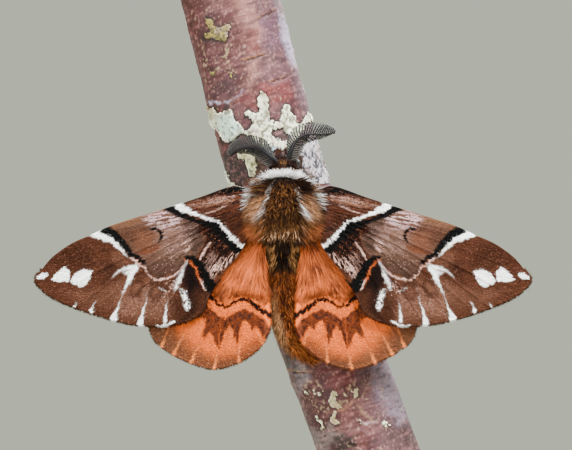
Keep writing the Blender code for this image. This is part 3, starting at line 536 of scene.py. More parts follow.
class Tube:
    """A tube along a line, with a radius for each of its points."""

    def __init__(self, points, radii, steps=5):
        self.line = smooth_curve(points, steps)
        self.far = lengths_along(self.line)
        even = np.linspace(0, 1, len(self.far))
        self.radii = np.interp(self.far, np.interp(np.linspace(0, 1, len(radii)), even, self.far), radii)
        self.tangent, self.right, self.up = side_vectors(self.line)

    def at(self, values, share):
        """The values, which the line's points have, at shares of its length."""
        return np.stack([np.interp(share, self.far, column) for column in values.T], -1)

    def surface(self, share, angle):
        """Places on the tube, the ways out of it and the ways along it."""
        right, up = self.at(self.right, share), self.at(self.up, share)
        out = unit(right * np.cos(angle)[:, None] + up * np.sin(angle)[:, None])
        radius = np.interp(share, self.far, self.radii)[:, None]
        return self.at(self.line, share) + out * radius, out, unit(self.at(self.tangent, share))

    def mesh(self, name, sides, rings):
        """The tube as a mesh with round ends."""
        mesh, ball = bent_ball(name, sides, rings)
        share = np.arccos(np.clip(-ball[:, 2], -1, 1)) / math.pi
        angle = np.arctan2(ball[:, 1], ball[:, 0])
        points, out, _ = self.surface(share, angle)
        close = np.clip(np.minimum(share, 1 - share) * rings / 2.2, 0, 1)
        radius = np.interp(share, self.far, self.radii)
        points -= out * (radius * (1 - np.sqrt(close)))[:, None]
        place_corners(mesh, points)
        face_outward(mesh)
        return mesh

    def coat(self, name, surface, slot, count, seed, length, lift, width, colours, span=(0.0, 1.0)):
        """Hair over a stretch of the tube, which lies along it."""
        spots = spread_evenly(thinned(count), seed)
        draw = np.random.default_rng(seed)
        share = span[0] + (span[1] - span[0]) * spots[:, 0]
        root, out, ahead = self.surface(share, spots[:, 1] * 2 * math.pi)
        count = len(share)
        across = np.cross(ahead, out)
        way = unit(ahead + across * draw.normal(0, 0.14, (count, 1)))
        reach = length * draw.uniform(0.6, 1.15, (count, 1))
        raised = lift * draw.uniform(0.5, 1.2, (count, 1))
        middle = root + way * reach * 0.45 + out * raised
        path = root - out * 0.03, middle, root + way * reach + out * raised * 0.8
        low, high = colours
        tip = low + (high - low) * np.clip(draw.normal(0.5, 0.3, (count, 1)), 0, 1)
        return grow_hair(name, path, across, width, width * 0.6, (tip * 0.6, tip), spots, surface,
                         SHORT_HAIR)


def tuft_shape(sides, cuts):
    """A cone that tufts are bent from: for each vertex its height, its angle and whether it is on the axis,
    and the triangles between them."""
    bm = bmesh.new()
    bmesh.ops.create_cone(bm, cap_ends=True, segments=sides, radius1=1.0, radius2=0.0, depth=1.0)
    bmesh.ops.remove_doubles(bm, verts=bm.verts, dist=1e-5)
    for height in cuts:
        whole = [*bm.verts, *bm.edges, *bm.faces]
        bmesh.ops.bisect_plane(bm, geom=whole, plane_co=(0, 0, height - 0.5), plane_no=(0, 0, 1))
    bmesh.ops.triangulate(bm, faces=bm.faces)
    bmesh.ops.recalc_face_normals(bm, faces=bm.faces)
    bm.verts.index_update()
    height = np.array([v.co.z + 0.5 for v in bm.verts])
    angle = np.array([math.atan2(v.co.y, v.co.x) for v in bm.verts])
    faces = np.array([[v.index for v in f.verts] for f in bm.faces])
    bm.free()
    return height, angle, faces


HAIR = tuft_shape(3, (0.3, 0.65))
SHORT_HAIR = tuft_shape(3, (0.5,))
SCALE = tuft_shape(4, ())
UV_PATCH = 0.003


def join_tufts(name, shape, points, colours, places, surface):
    """One mesh from the vertices of many tufts (tuft, vertex, xyz). places holds each root's place on the
    unwrapped skin, and its tuft lies as a small patch there."""
    height, angle, faces = shape
    count, size = points.shape[:2]
    mesh = bpy.data.meshes.new(name)
    starts = (np.arange(count) * size)[:, None, None]
    triangles = (faces[None] + starts).reshape(-1, 3)
    mesh.vertices.add(count * size)
    mesh.vertices.foreach_set("co", np.ascontiguousarray(in_world(points), np.float32).ravel())
    mesh.loops.add(triangles.size)
    mesh.loops.foreach_set("vertex_index", triangles.astype(np.int32).ravel())
    mesh.polygons.add(len(triangles))
    mesh.polygons.foreach_set("loop_start", np.arange(0, triangles.size, 3, dtype=np.int32))
    mesh.update(calc_edges=True)
    mesh.validate()
    colour_corners(mesh, colours.reshape(-1, 3))
    offset = np.stack(((angle / math.pi + 1) / 2, height), -1) * UV_PATCH
    uv = (places[:, None] * (1 - UV_PATCH) + offset[None]).reshape(-1, 2)
    layer = mesh.uv_layers.new(name="OFBake")
    layer.data.foreach_set("uv", uv[triangles.ravel()].astype(np.float32).ravel())
    return add_piece(name, mesh, surface)


def grow_hair(name, path, side, width, thickness, colours, places, surface, shape=HAIR, full=1.6):
    """Tapered tufts along curves. path holds the curves' start, middle and end points, and colours those of
    the root and the tip."""
    height, angle, _ = shape
    t = height[None, :, None]
    start, middle, end = (p[:, None] for p in path)
    points = bend(start, middle, end, t)
    tangent = unit((middle - start) * (1 - t) + (end - middle) * t)
    across = side[:, None] - tangent * (side[:, None] * tangent).sum(2, keepdims=True)
    across = unit(across)
    thick = np.cross(tangent, across)
    taper = (1 - t ** full) / 2
    turn = angle[None, :, None]
    wide = np.asarray(width).reshape(-1, 1, 1)
    deep = np.asarray(thickness).reshape(-1, 1, 1)
    points = points + (across * np.cos(turn) * wide + thick * np.sin(turn) * deep) * taper
    low, high = (c[:, None] for c in colours)
    shade = low + (high - low) * t ** 0.8
    return join_tufts(name, shape, points, shade, places, surface)


def grow_scales(name, roots, lie, normal, length, width, rise, colours, places, surface):
    """Flat scales that overlap like shingles: each starts a little under its root and ends raised."""
    _, angle, _ = SCALE
    height = SCALE[0][None, :, None]
    turn = angle[None, :, None]
    across = np.cross(normal, lie)[:, None]
    far = np.where(height > 0.5, 0.55, 0.5 + 0.5 * np.cos(turn) + 0.15 * np.abs(np.sin(turn)))
    wide = np.where(height > 0.5, 0.0, np.sin(turn) / 2)
    up = np.where(height > 0.5, 0.75, far) * rise - 0.2 * rise
    points = (
        roots[:, None] + lie[:, None] * far * length.reshape(-1, 1, 1)
        + across * wide * width.reshape(-1, 1, 1) + normal[:, None] * up
    )
    shade = colours[:, None] * (0.86 + 0.2 * far)
    return join_tufts(name, SCALE, points, shade, places, surface)


# Wings

def wing_middle(out, level):
    """How far back the middle of a wing's thickness lies, at a distance out from the body."""
    return level + WING_SWEEP * (np.abs(out) / WING_SPAN) ** 1.7


class Wing:
    """The outline, veins and level of a pair of wings, and what is worked out from them."""

    def __init__(self, outline, veins, level):
        self.level = level
        self.outline = smooth_curve(outline, 10)
        self.veins = []
        t = np.linspace(0, 1, 15)[:, None]
        self.ends = []
        for root, knee, end in veins:
            distance = np.linalg.norm(self.outline - np.array(end), axis=1)
            share = lengths_along(self.outline)[distance.argmin()]
            self.ends.append(share)
            start, middle, stop = np.array(root), np.array(knee), along(self.outline, np.array([share]))[0]
            self.veins.append(bend(start, middle, stop, t))
        self.starts = np.vstack([v[:-1] for v in self.veins])
        self.stops = np.vstack([v[1:] for v in self.veins])
        low, high = self.outline.min(0), self.outline.max(0)
        self.corner, self.extent = low, high - low

    def rows(self, between, columns):
        """Points over the wing: rows from the leading edge round to the inner one, columns from root to
        edge."""
        t = np.linspace(0, 1, columns)[:, None]
        first, last = 0.8 * self.ends[0], 1 - 0.72 * (1 - self.ends[-1])
        ends = [first, *self.ends, last]
        lines = [along(self.outline, first * t[:, 0])]
        for vein in self.veins:
            lines.append(bend(vein[0], 2 * vein[7] - (vein[0] + vein[-1]) / 2, vein[-1], t))
        lines.append(along(self.outline, 1 - (1 - last) * t[:, 0]))
        made = []
        for here, after, low, high in zip(lines, lines[1:], ends, ends[1:]):
            for k in range(between):
                share = k / between
                line = here + (after - here) * share
                edge = along(self.outline, np.array([low + (high - low) * share]))[0]
                made.append(line + t ** 3 * (edge - line[-1]))
        return np.array([*made, lines[-1]])

    def half(self, points):
        """Half the wing's thickness: thin at its edge, raised along the veins and slack between them."""
        edge, _ = measure(points, self.outline)
        vein, _, _, _ = nearest(points, self.starts, self.stops)
        thick = WING_HALF - SCALE_DEPTH
        inward = ramp(edge, 0, 1.4)
        half = 0.07 + (thick - 0.07) * inward
        half += VEIN_HEIGHT * np.exp(-((vein / 0.17) ** 2)) * (0.25 + 0.75 * ramp(edge, 0.2, 4))
        return half - 0.05 * inward * (1 - np.exp(-vein / 0.5))

    def surface(self, points, side, face):
        """Places on the wing's front (-1) or back (1) face, at points given as out and up."""
        out, up = points.T
        y = wing_middle(out, self.level) + face * self.half(points)
        return np.stack((side * out, y, up), -1)

    def normals(self, points, side, face):
        """The directions that face outward there."""
        step = 0.04
        right = self.surface(points + (step, 0), side, face) - self.surface(points - (step, 0), side, face)
        up = self.surface(points + (0, step), side, face) - self.surface(points - (0, step), side, face)
        return unit(np.cross(right, up)) * side * -face

    def lie(self, points, side):
        """The way from the root to the edge along the nearest vein."""
        _, _, which, _ = nearest(points, self.starts, self.stops)
        way = unit(self.stops[which] - self.starts[which])
        return np.stack((side * way[:, 0], np.zeros(len(way)), way[:, 1]), -1)

    def scatter(self, spacing, seed, inset=0.0):
        """Staggered points over the wing, a little irregular."""
        draw = np.random.default_rng(seed)
        counts = np.ceil(self.extent / (spacing, spacing * 0.87)).astype(int)
        i, j = np.meshgrid(np.arange(counts[0]), np.arange(counts[1]), indexing="ij")
        grid = np.stack((i + 0.5 * (j % 2), j), -1).reshape(-1, 2) * (spacing, spacing * 0.87)
        grid = self.corner + grid + (draw.random(grid.shape) - 0.5) * spacing * 0.6
        inside = patch(grid, self.outline[:-1], 0.01) > 0.5
        if inset:
            distance, _ = measure(grid, self.outline)
            inside &= distance > inset
        return grid[inside & (grid[:, 0] > 2.4)]

    def unwrap(self, points):
        """The points' places on the wing laid flat."""
        return (points - self.corner) / self.extent.max()


# The markings of the left wings, drawn in the photograph's pixels

BROWN, BROWN_LIGHT, BROWN_DARK = paint(108, 62, 43), paint(146, 104, 84), paint(88, 46, 30)
TAUPE, TAUPE_LIGHT, TAUPE_DARK = paint(136, 102, 86), paint(168, 138, 126), paint(96, 70, 60)
BLACK, CHOCOLATE, DEEP = paint(9, 5, 5), paint(64, 33, 24), paint(50, 22, 14)
WHITE, PINK_WHITE = paint(246, 244, 246), paint(214, 196, 190)
RUST, SAND = paint(140, 80, 52), paint(188, 144, 110)
ORANGE, ORANGE_LIGHT, ORANGE_DEEP = paint(224, 150, 98), paint(238, 186, 142), paint(182, 104, 66)

# The wavy dark line over the hindwing, where its silky hair ends
WAVY_LINE = ((203, 286), (208, 293), (214, 300), (221, 304.5), (229, 305), (236, 301), (243, 298),
             (250, 299.5),
             (257, 305), (264, 311), (271, 317))

# The pixel that the markings' fine streaks fan out from
WING_ROOT = (262.0, 195.0)

# The hindwing's outer edge
HIND_EDGE = ((163, 300), (150, 323), (152, 337), (162, 348), (185, 361), (213, 369), (240, 362), (258, 349))


def streaked(p, length, seed):
    """Noise in fine streaks that fan out from the wing's root, and the points moved along them by it, so
    that the markings' edges are toothed as the rows of scales make them. A finer noise of the same kind
    comes too."""
    way = p - WING_ROOT
    turn, far = np.arctan2(way[:, 1], -way[:, 0]), np.hypot(way[:, 0], way[:, 1])
    streak = grain(np.stack((turn * 75, far / 14), -1), 1.0, seed)
    thread = grain(np.stack((turn * 130, far / 7), -1), 1.0, seed + 1)
    return streak, thread, p + unit(way) * ((streak - 0.5) * length)[:, None]


def dusting(draw, amount, speckle):
    """How far each scale takes a dusting's colour: single scales do, and the skin beneath does evenly."""
    if draw is None:
        return amount * 0.6
    return (draw < amount) * (0.3 + 0.55 * speckle)


def forewing_colours(p, draw):
    """The forewing's colours at pixels of the photograph. draw is a random number for each scale, by which
    some take the colour of a dusting, or None for the skin beneath them."""
    speckle = grain(p, 2.4, 1)
    cloud = grain(p, 16, 2)
    streak, thread, p = streaked(p, 3.0, 6)
    silk = ramp(thread, 0.42, 0.72)
    p = p + jitter(p, 2.6, (4, 5)) * 1.5
    colour = np.tile(BROWN, (len(p), 1))

    def cover(other, amount):
        lay(colour, other, amount)

    def dust(other, amount):
        lay(colour, other, dusting(draw, amount, speckle))

    def mark(area, spots):
        """Covers spots within an area: each has a colour, an outline, how soft its edge is, and how full it
        is."""
        for tone, outline, soft, full in spots:
            cover(tone, area * patch(p, outline, soft) * full)

    # Outer field
    mark(1, (
        (BROWN_DARK, ((34, 262), (66, 240), (88, 246), (98, 262), (92, 266), (60, 266)), 8, 0.85),
        (BROWN_LIGHT, ((104, 288), (132, 276), (165, 284), (176, 300), (166, 320), (120, 316)), 10, 0.8),
    ))
    dust(TAUPE_LIGHT, patch(p, ((118, 286), (170, 282), (176, 316), (120, 316)), 12) * 0.4)
    cover(BROWN_DARK, stroke(p, ((116, 263), (110, 271), (104, 284)), (4, 9, 6), 4) * 0.6)
    mark(1, (
        (CHOCOLATE, ((102, 262), (117, 262), (114, 272), (106, 275)), 4, 0.5),
        (BROWN_LIGHT, ((60, 291), (96, 287), (112, 296), (108, 310), (86, 308)), 6, 0.5),
        (BROWN_LIGHT, ((112, 252), (121, 250), (134, 262), (126, 268), (114, 262)), 3, 0.5),
        (BROWN_DARK, ((127, 294), (134, 280), (142, 276), (146, 284), (140, 297)), 2.5, 0.75),
        (BROWN_DARK, ((148, 298), (152, 280), (163, 280), (168, 288), (158, 300)), 2.5, 0.75),
        (BROWN_LIGHT, ((131, 291), (136, 283), (141, 282), (138, 292)), 2, 0.6),
        (BROWN_LIGHT, ((152, 296), (155, 287), (161, 286), (158, 296)), 2, 0.6),
    ))

    # Middle field
    middle = (
        (172, 204), (100, 226), (108, 231), (118, 237), (127, 247), (140, 259), (147, 266), (158, 274),
        (172, 272),
        (182, 264), (187, 257), (197, 258), (206, 240), (204, 224), (190, 217),
    )
    inner = patch(p, middle, 1.2)
    cover(TAUPE, inner)
    mark(inner, (
        (paint(148, 108, 80), ((108, 222), (172, 202), (168, 212), (146, 221), (112, 231)), 2.5,
         0.45 + 0.4 * silk),
        (paint(105, 66, 48), ((112, 230), (150, 224), (156, 240), (140, 250), (126, 244)), 6, 0.8),
        (paint(154, 107, 84), ((136, 232), (158, 232), (156, 246), (138, 250)), 5, 0.6),
        (TAUPE_LIGHT, ((160, 226), (196, 224), (198, 240), (168, 252), (160, 244)), 7, 0.6),
        (TAUPE_DARK, ((146, 262), (186, 254), (180, 276), (158, 278)), 5, 0.7),
        (paint(90, 66, 56), ((182, 218), (206, 222), (206, 246), (196, 258), (186, 240)), 6, 0.9),
        (paint(120, 90, 74), ((163, 236), (190, 234), (192, 252), (178, 262), (164, 256)), 6, 0.6),
    ))
    cover(RUST, inner * stroke(p, ((140, 254), (148, 249), (158, 246)), (3, 5, 3), 2) * 0.7)
    mark(inner * silk, (
        (paint(206, 190, 192), ((144, 218), (165, 208), (182, 214), (180, 228), (154, 228)), 5, 0.85),
        (paint(190, 168, 164), ((160, 226), (196, 226), (192, 250), (164, 254)), 6, 0.35),
        (PINK_WHITE, ((184, 240), (192, 240), (190, 252), (184, 250)), 3, 0.6),
    ))
    dust(PINK_WHITE, inner * patch(p, ((150, 244), (184, 240), (180, 270), (156, 270)), 6) * 0.08)
    cover(BLACK, stroke(p, ((150, 228), (157, 228), (162, 231), (163, 236), (160, 242)),
                        (1.4, 3.2, 3.8, 3, 1.4)))
    cover(RUST, inner * stroke(p, ((163, 244), (154, 250), (144, 252)), (1.5, 3, 2), 1.5) * 0.7)

    # Dark inner field and its white dusting
    field = patch(p, (
        (200, 222), (212, 222), (224, 230), (234, 246), (243, 252), (233, 262), (222, 273), (212, 284),
        (206, 272),
        (199, 259), (205, 246), (209, 236), (199, 232),
    ), 1.2)
    cover(DEEP, field)
    cover(paint(20, 8, 6), field * patch(p, ((206, 220), (230, 240), (238, 254), (224, 254), (208, 244)), 4)
          * 0.8)
    cover(RUST, field * ramp(thread, 0.55, 0.95) * 0.45)
    dust(RUST, field * 0.08)
    cover(PINK_WHITE, field * patch(p, ((206, 256), (216, 252), (222, 262), (212, 276), (204, 268)), 4)
          * silk * 0.25)
    cover(RUST, field * stroke(p, ((240, 258), (228, 268), (212, 283)), (3, 3, 3), 1.5) * 0.8)
    frost = ramp(thread * 0.6 + grain(p, 1.2, 8) * 0.4, 0.42, 0.66)
    cover(PINK_WHITE, field * stroke(p, ((236, 253), (229, 260), (220, 268)), (5, 6, 4), 2) * frost * 0.95)
    cover(PINK_WHITE, field * stroke(p, ((221, 260), (217, 267), (212, 275)), (7, 7, 5), 3) * frost * 0.8)
    cover(PINK_WHITE, stroke(p, ((201, 258), (206, 249), (212, 241)), (2, 1.8, 1.0)) * 0.9)

    # Field at the root
    root = patch(p, (
        (262, 182), (234, 184), (200, 196), (176, 202), (180, 208), (200, 216), (220, 222), (236, 239),
        (248, 250),
        (262, 240),
    ), 1.0)
    cover(paint(106, 60, 42), root)
    mark(root, (
        (RUST, ((228, 214), (252, 206), (252, 240), (238, 236), (226, 224)), 5, 0.6),
        (paint(170, 104, 72), ((232, 210), (248, 206), (252, 224), (240, 226)), 4, 0.6),
        (CHOCOLATE, ((212, 217), (246, 204), (236, 222), (238, 234), (226, 226)), 4, 0.75),
    ))
    for line, tone, width in (
        (((204, 214.5), (216, 210.5), (228, 205)), PINK_WHITE, 1.0),
        (((196, 208), (216, 204), (240, 199)), SAND, 1.2),
        (((210, 199), (224, 197), (240, 196)), PINK_WHITE, 0.8),
        (((212, 217), (228, 211), (242, 205)), RUST, 2.2),
        (((216, 206), (230, 203), (244, 199)), CHOCOLATE, 1.8),
        (((206, 209), (226, 205), (240, 202)), DEEP, 1.6),
        (((190, 205), (210, 201), (232, 196)), SAND, 0.8), (((206, 218), (224, 213), (244, 209)), DEEP, 1.4),
        (((186, 206), (206, 206), (226, 200)), TAUPE_LIGHT, 1.4),
    ):
        cover(tone, root * stroke(p, line, (0.6, width, width * 1.2)) * (0.35 + 0.7 * speckle))
    cover(PINK_WHITE, root * patch(p, ((190, 204), (212, 198), (240, 196), (238, 201), (206, 207)), 3)
          * silk * 0.3)
    costa = ((256, 190), (236, 189.5), (218, 191.5), (200, 197.5), (184, 202))
    cover(BLACK, root * stroke(p, costa, (16, 11, 6, 3, 2), 2))
    dust(BROWN_LIGHT, np.full(len(p), 0.08))

    # White and black bands that end the root's field
    edge = ((168, 206), (178, 212), (190, 218), (202, 222), (214, 224), (224, 231), (232, 241), (238, 248),
            (243, 252))
    cover(BLACK, stroke(p, edge, (9, 8, 5, 4, 8, 11, 11, 10, 6), 1.2))
    band = ((176, 204), (182, 207), (191, 211.5), (200, 215), (210, 218.5), (219, 221), (227, 229),
            (233, 236),
            (240, 242), (246, 248))
    cover(WHITE, stroke(p, band, (3.5, 6.5, 4.4, 2.4, 2.0, 1.6, 2.0, 4.0, 4.2, 3.4), 1.0))

    # Line that ends the middle field, with its white and orange outer edge
    line = ((100, 229), (108, 231), (116, 235.5), (122, 241.5), (128, 248), (134, 254.5), (140, 259),
            (146, 262))
    cover(BLACK, stroke(p, line, (5, 9, 9, 8, 6, 5.5, 6, 3), 1.2))
    cover(TAUPE_DARK, stroke(p, ((146, 263), (151, 271), (158, 274.5), (166, 273), (177, 270), (184, 261)),
                             (2, 2, 2.4, 2, 2, 3)) * 0.9)
    pale = ((90, 233), (98, 235), (105, 237.5), (112, 240), (119, 246), (126, 253), (132, 258))
    cover(WHITE, stroke(p, pale, (3.5, 6.5, 5.4, 4.2, 2.4, 1.2, 0.4), 1.0))
    cover(PINK_WHITE, stroke(p, ((132, 258), (138, 262), (144, 266), (148, 271)), (1.4, 2.0, 2.0, 1.4)))
    cover(RUST, stroke(p, ((137, 259.5), (143, 263.5), (147, 269)), (1.4, 1.8, 1.2)) * 0.8)
    cover(PINK_WHITE, stroke(p, ((147, 271), (153, 277), (160, 279), (169, 277), (178, 273), (184, 266),
                                 (188, 260)),
                             (1, 1.6, 1.8, 1.4, 1.6, 2.0, 2)) * 0.85)

    # Dark triangle by the inner edge, and the thick black line that bounds it
    wedge = ((188, 258), (196, 266), (202, 276), (208, 290), (207, 304), (199, 310), (190, 318), (180, 322),
             (188, 308), (186, 296), (183, 284), (182, 272))
    cover(CHOCOLATE, patch(p, wedge, 2.0))
    cover(paint(22, 10, 8), patch(p, ((188, 261), (195, 267), (200, 284), (190, 292), (185, 278)), 4) * 0.85)
    cover(BROWN_DARK, patch(p, ((170, 300), (184, 290), (190, 316), (176, 322)), 5) * 0.8)
    cover(BROWN, patch(p, ((196, 290), (210, 292), (206, 306), (198, 310)), 5) * 0.6)
    thick = ((187, 256), (193, 258.5), (199.5, 265), (205, 274), (210, 284), (214, 291), (219, 297))
    cover(BLACK, stroke(p, thick, (3, 8, 10, 10, 11, 10, 5), 1.2))
    cover(paint(196, 120, 78), stroke(p, ((186, 259), (191, 261), (196, 267), (200, 276), (205, 288)),
                                      (1.4, 2, 2.2, 2.2, 1.4)))
    cover(WHITE, stroke(p, ((201, 278), (203.5, 283), (206, 289)), (0.2, 0.8, 0.3)))
    ragged = ramp(grain(p, 1.6, 7), 0.2, 0.55)
    cover(paint(150, 136, 144), stroke(p, ((187, 263), (180, 273), (175, 284)), (2, 4, 2), 1.5) * 0.7)
    cover(WHITE, stroke(p, ((188, 261), (184, 269), (181, 277), (176, 288)), (0.3, 1.4, 4.6, 1.0), 1.2)
          * (0.4 + 0.6 * ragged))
    cover(WHITE, stroke(p, ((181, 288), (184, 293), (186, 298), (187.5, 303), (187, 309)),
                        (1.2, 4, 5.5, 6, 2), 1.6)
          * ragged)
    dust(PINK_WHITE, patch(p, ((168, 280), (178, 280), (174, 292), (166, 292)), 4) * 0.3)

    # White fork, streaks at the veins' ends, and the spots at the tip
    cover(WHITE, stroke(p, ((113, 277), (118, 271), (125, 267.5), (136, 266)), (0.4, 1.6, 2.4, 3), 1.4))
    cover(WHITE, stroke(p, ((138, 266), (133, 273), (129, 282), (124, 291), (119, 303), (113, 318)),
                        (3, 5, 1.4, 0.2, 1, 7)))
    cover(WHITE, patch(p, ((119, 270), (137, 264), (131, 283), (127, 274)), 1.5) * (0.15 + 0.7 * silk))
    for line, widths in (
        (((97, 299), (94, 304), (91, 311)), (0, 1, 4)), (((76, 303), (75, 306)), (0.4, 1.6)),
        (((150, 286), (146, 303), (142, 315), (141, 325)), (0.0, 0.2, 2.0, 7)),
        (((170, 292), (167, 305), (166, 314), (165, 321)), (0.0, 0.1, 1.8, 3.6)),
        (((156, 325), (164, 325.5), (174, 321)), (1, 1.8, 2.2)), (((160, 287), (168, 290)), (0.6, 0.5)),
    ):
        cover(WHITE, stroke(p, line, widths))
    for outline in (
        ((36, 278), (40, 274), (45, 272.5), (47, 275), (44, 278)),
        ((51, 279), (58, 272), (66, 266), (70, 270), (70, 277), (68, 281), (60, 281)),
        ((70, 281), (76, 273), (84, 269), (91, 270), (91, 277), (87, 284), (81, 287), (74, 284)),
    ):
        cover(WHITE, patch(p, outline, 0.8))

    return colour * (0.72 + 0.2 * speckle + 0.16 * cloud + 0.26 * streak)[:, None]


def hindwing_colours(p, draw):
    """The hindwing's colours at pixels of the photograph, as for the forewing."""
    speckle = grain(p, 2.4, 11)
    cloud = grain(p, 18, 12)
    streak, _, p = streaked(p, 4.0, 16)
    p = p + jitter(p, 2.6, (14, 15)) * 1.5
    colour = np.tile(ORANGE, (len(p), 1))

    def cover(other, amount):
        lay(colour, other, amount)

    cover(ORANGE_LIGHT, patch(p, ((214, 296), (240, 262), (262, 262), (268, 300), (240, 292)), 8) * 0.3)
    cover(paint(126, 90, 70), stroke(p, HIND_EDGE, (46, 42, 34, 28, 22, 18), 9) * 0.92)
    cover(paint(136, 92, 68), patch(p, ((140, 318), (176, 326), (184, 342), (180, 358), (150, 346)), 8)
          * 0.75)
    cover(paint(164, 106, 74), patch(p, ((172, 330), (190, 336), (205, 352), (215, 372), (172, 360)), 8)
          * 0.5)
    cover(ORANGE_DEEP, patch(p, ((244, 340), (262, 332), (272, 340), (252, 366), (236, 368)), 8) * 0.35)
    for line in (
        ((169, 328), (165, 337), (160, 349)), ((184, 334), (178, 345), (173, 357)),
        ((201, 342), (195, 352), (190, 365)), ((218, 349), (216, 358), (214, 370)),
        ((240, 344), (239, 354), (239, 364)), ((258, 332), (262, 340), (262, 348)),
    ):
        cover(ORANGE_LIGHT, stroke(p, line, (0.6, 1.4, 3.2), 1.4) * 0.85)
    wavy = stroke(p, WAVY_LINE, (5, 5, 4.6, 3.6, 3.2, 3.6, 4.4, 4.6, 4.8, 5.2, 5.6), 1.0)
    cover(paint(28, 13, 10), wavy)
    toothed = (
        (186, 318), (196, 309), (206, 305), (216, 313), (226, 317), (236, 311), (246, 308), (256, 312),
        (264, 319),
        (270, 328), (270, 340), (265, 338), (261, 331), (256, 325), (252, 329), (249, 321), (243, 320),
        (240, 327),
        (238.5, 342), (234, 334), (230, 324), (226, 330), (219, 349), (214, 338), (210, 330), (206, 337),
        (201, 338), (204, 328), (206, 318), (196, 317),
    )
    dark = patch(p, toothed, 1.2)
    cover(paint(60, 39, 36), dark * (0.74 + 0.26 * speckle))
    cover(ORANGE, stroke(p, ((221.5, 306), (220.5, 325), (218.5, 346)), (0.4, 0.7, 1.2), 0.8) * 0.8)
    lay(colour, SAND, dusting(draw, np.full(len(p), 0.1), speckle) * 0.7 * (1 - dark) * (1 - wavy))
    return colour * (0.76 + 0.18 * speckle + 0.12 * cloud + 0.22 * streak)[:, None]


def under_colours(colours):
    """The same markings as seen from beneath: paler, and blurred towards sandy brown."""
    return colours * 0.55 + paint(168, 120, 86) * 0.45


def wing_paint(kind, points, side, face, seed):
    """The colours at points of a wing, given as out and up."""
    pixels = seen(-points[:, 0], points[:, 1])
    draw = None if seed is None else np.random.default_rng(seed).random(len(points))
    colours = (forewing_colours if kind == "forewing" else hindwing_colours)(pixels, draw)
    return colours if face < 0 else under_colours(colours)


def wing_skin(name, wing, kind, side, surface, between, columns):
    """The wing's membrane with its veins raised on both faces."""
    rows = wing.rows(between, columns)
    flat = rows.reshape(-1, 2)
    front, back = (wing.surface(flat, side, face).reshape(*rows.shape[:2], 3) for face in (-1, 1))
    mesh = double_sheet(name, front, back)
    points = corners(mesh)
    spot = np.stack((np.abs(points[:, 0]), points[:, 2]), -1)
    front = points[:, 1] < wing_middle(spot[:, 0], wing.level)
    colours = np.where(
        front[:, None], wing_paint(kind, spot, side, -1, None), wing_paint(kind, spot, side, 1, None)
    )
    place_corners(mesh, in_world(points))
    colour_corners(mesh, colours * 0.85)
    return add_piece(name, mesh, surface, (name.replace("_skin", ""),))


def wing_scales(name, wing, kind, side, face, spacing, surface, seed):
    """The scales of one face of a wing, laid like shingles from its root to its edge."""
    points = wing.scatter(spacing, seed, spacing)
    draw = np.random.default_rng(seed + 1)
    roots = wing.surface(points, side, face)
    normal = wing.normals(points, side, face)
    lie = wing.lie(points, side)
    lie = unit(lie - normal * (lie * normal).sum(1, keepdims=True) + draw.normal(0, 0.09, lie.shape))
    count = len(points)
    length = spacing * (2.1 + 0.7 * draw.random(count))
    edge, _ = measure(points, wing.outline)
    length = np.minimum(length, edge + 0.06)
    width = spacing * (1.25 + 0.3 * draw.random(count))
    colours = wing_paint(kind, points, side, face, seed + 2) * (0.88 + 0.24 * draw.random((count, 1)))
    return grow_scales(name, roots, lie, normal, length, width, 0.055, colours, wing.unwrap(points), surface)


def wing_fringe(name, wing, kind, side, span, surface, seed):
    """The fringe along a wing's outer edge, between two shares of its outline."""
    count = thinned(1900 if kind == "forewing" else 1500)
    draw = np.random.default_rng(seed)
    share = np.sort(draw.uniform(*span, count))
    edge = along(wing.outline, share)
    ahead = along(wing.outline, np.minimum(share + 0.004, 1)) - along(wing.outline, share - 0.004)
    out = unit(np.stack((ahead[:, 1], -ahead[:, 0]), -1))
    centre = wing.outline.mean(0)
    out *= np.sign((out * (edge - centre)).sum(1, keepdims=True))
    root = edge - out * 0.18
    tip = edge + out * draw.uniform(0.16, 0.34, (count, 1)) + draw.normal(0, 0.04, (count, 2))
    level = wing_middle(edge[:, 0], wing.level) + draw.uniform(-0.06, 0.06, count)

    def placed(spots):
        return np.stack((side * spots[:, 0], level, spots[:, 1]), -1)

    path = placed(root), placed((root + tip) / 2), placed(tip)
    colours = wing_paint(kind, edge - out * 0.1, side, -1, seed + 1)
    across = np.tile((0.0, 1.0, 0.0), (count, 1))
    return grow_hair(name, path, across, 0.06, 0.11, (colours * 0.8, colours * 0.6), wing.unwrap(root),
                     surface,
                     SHORT_HAIR)


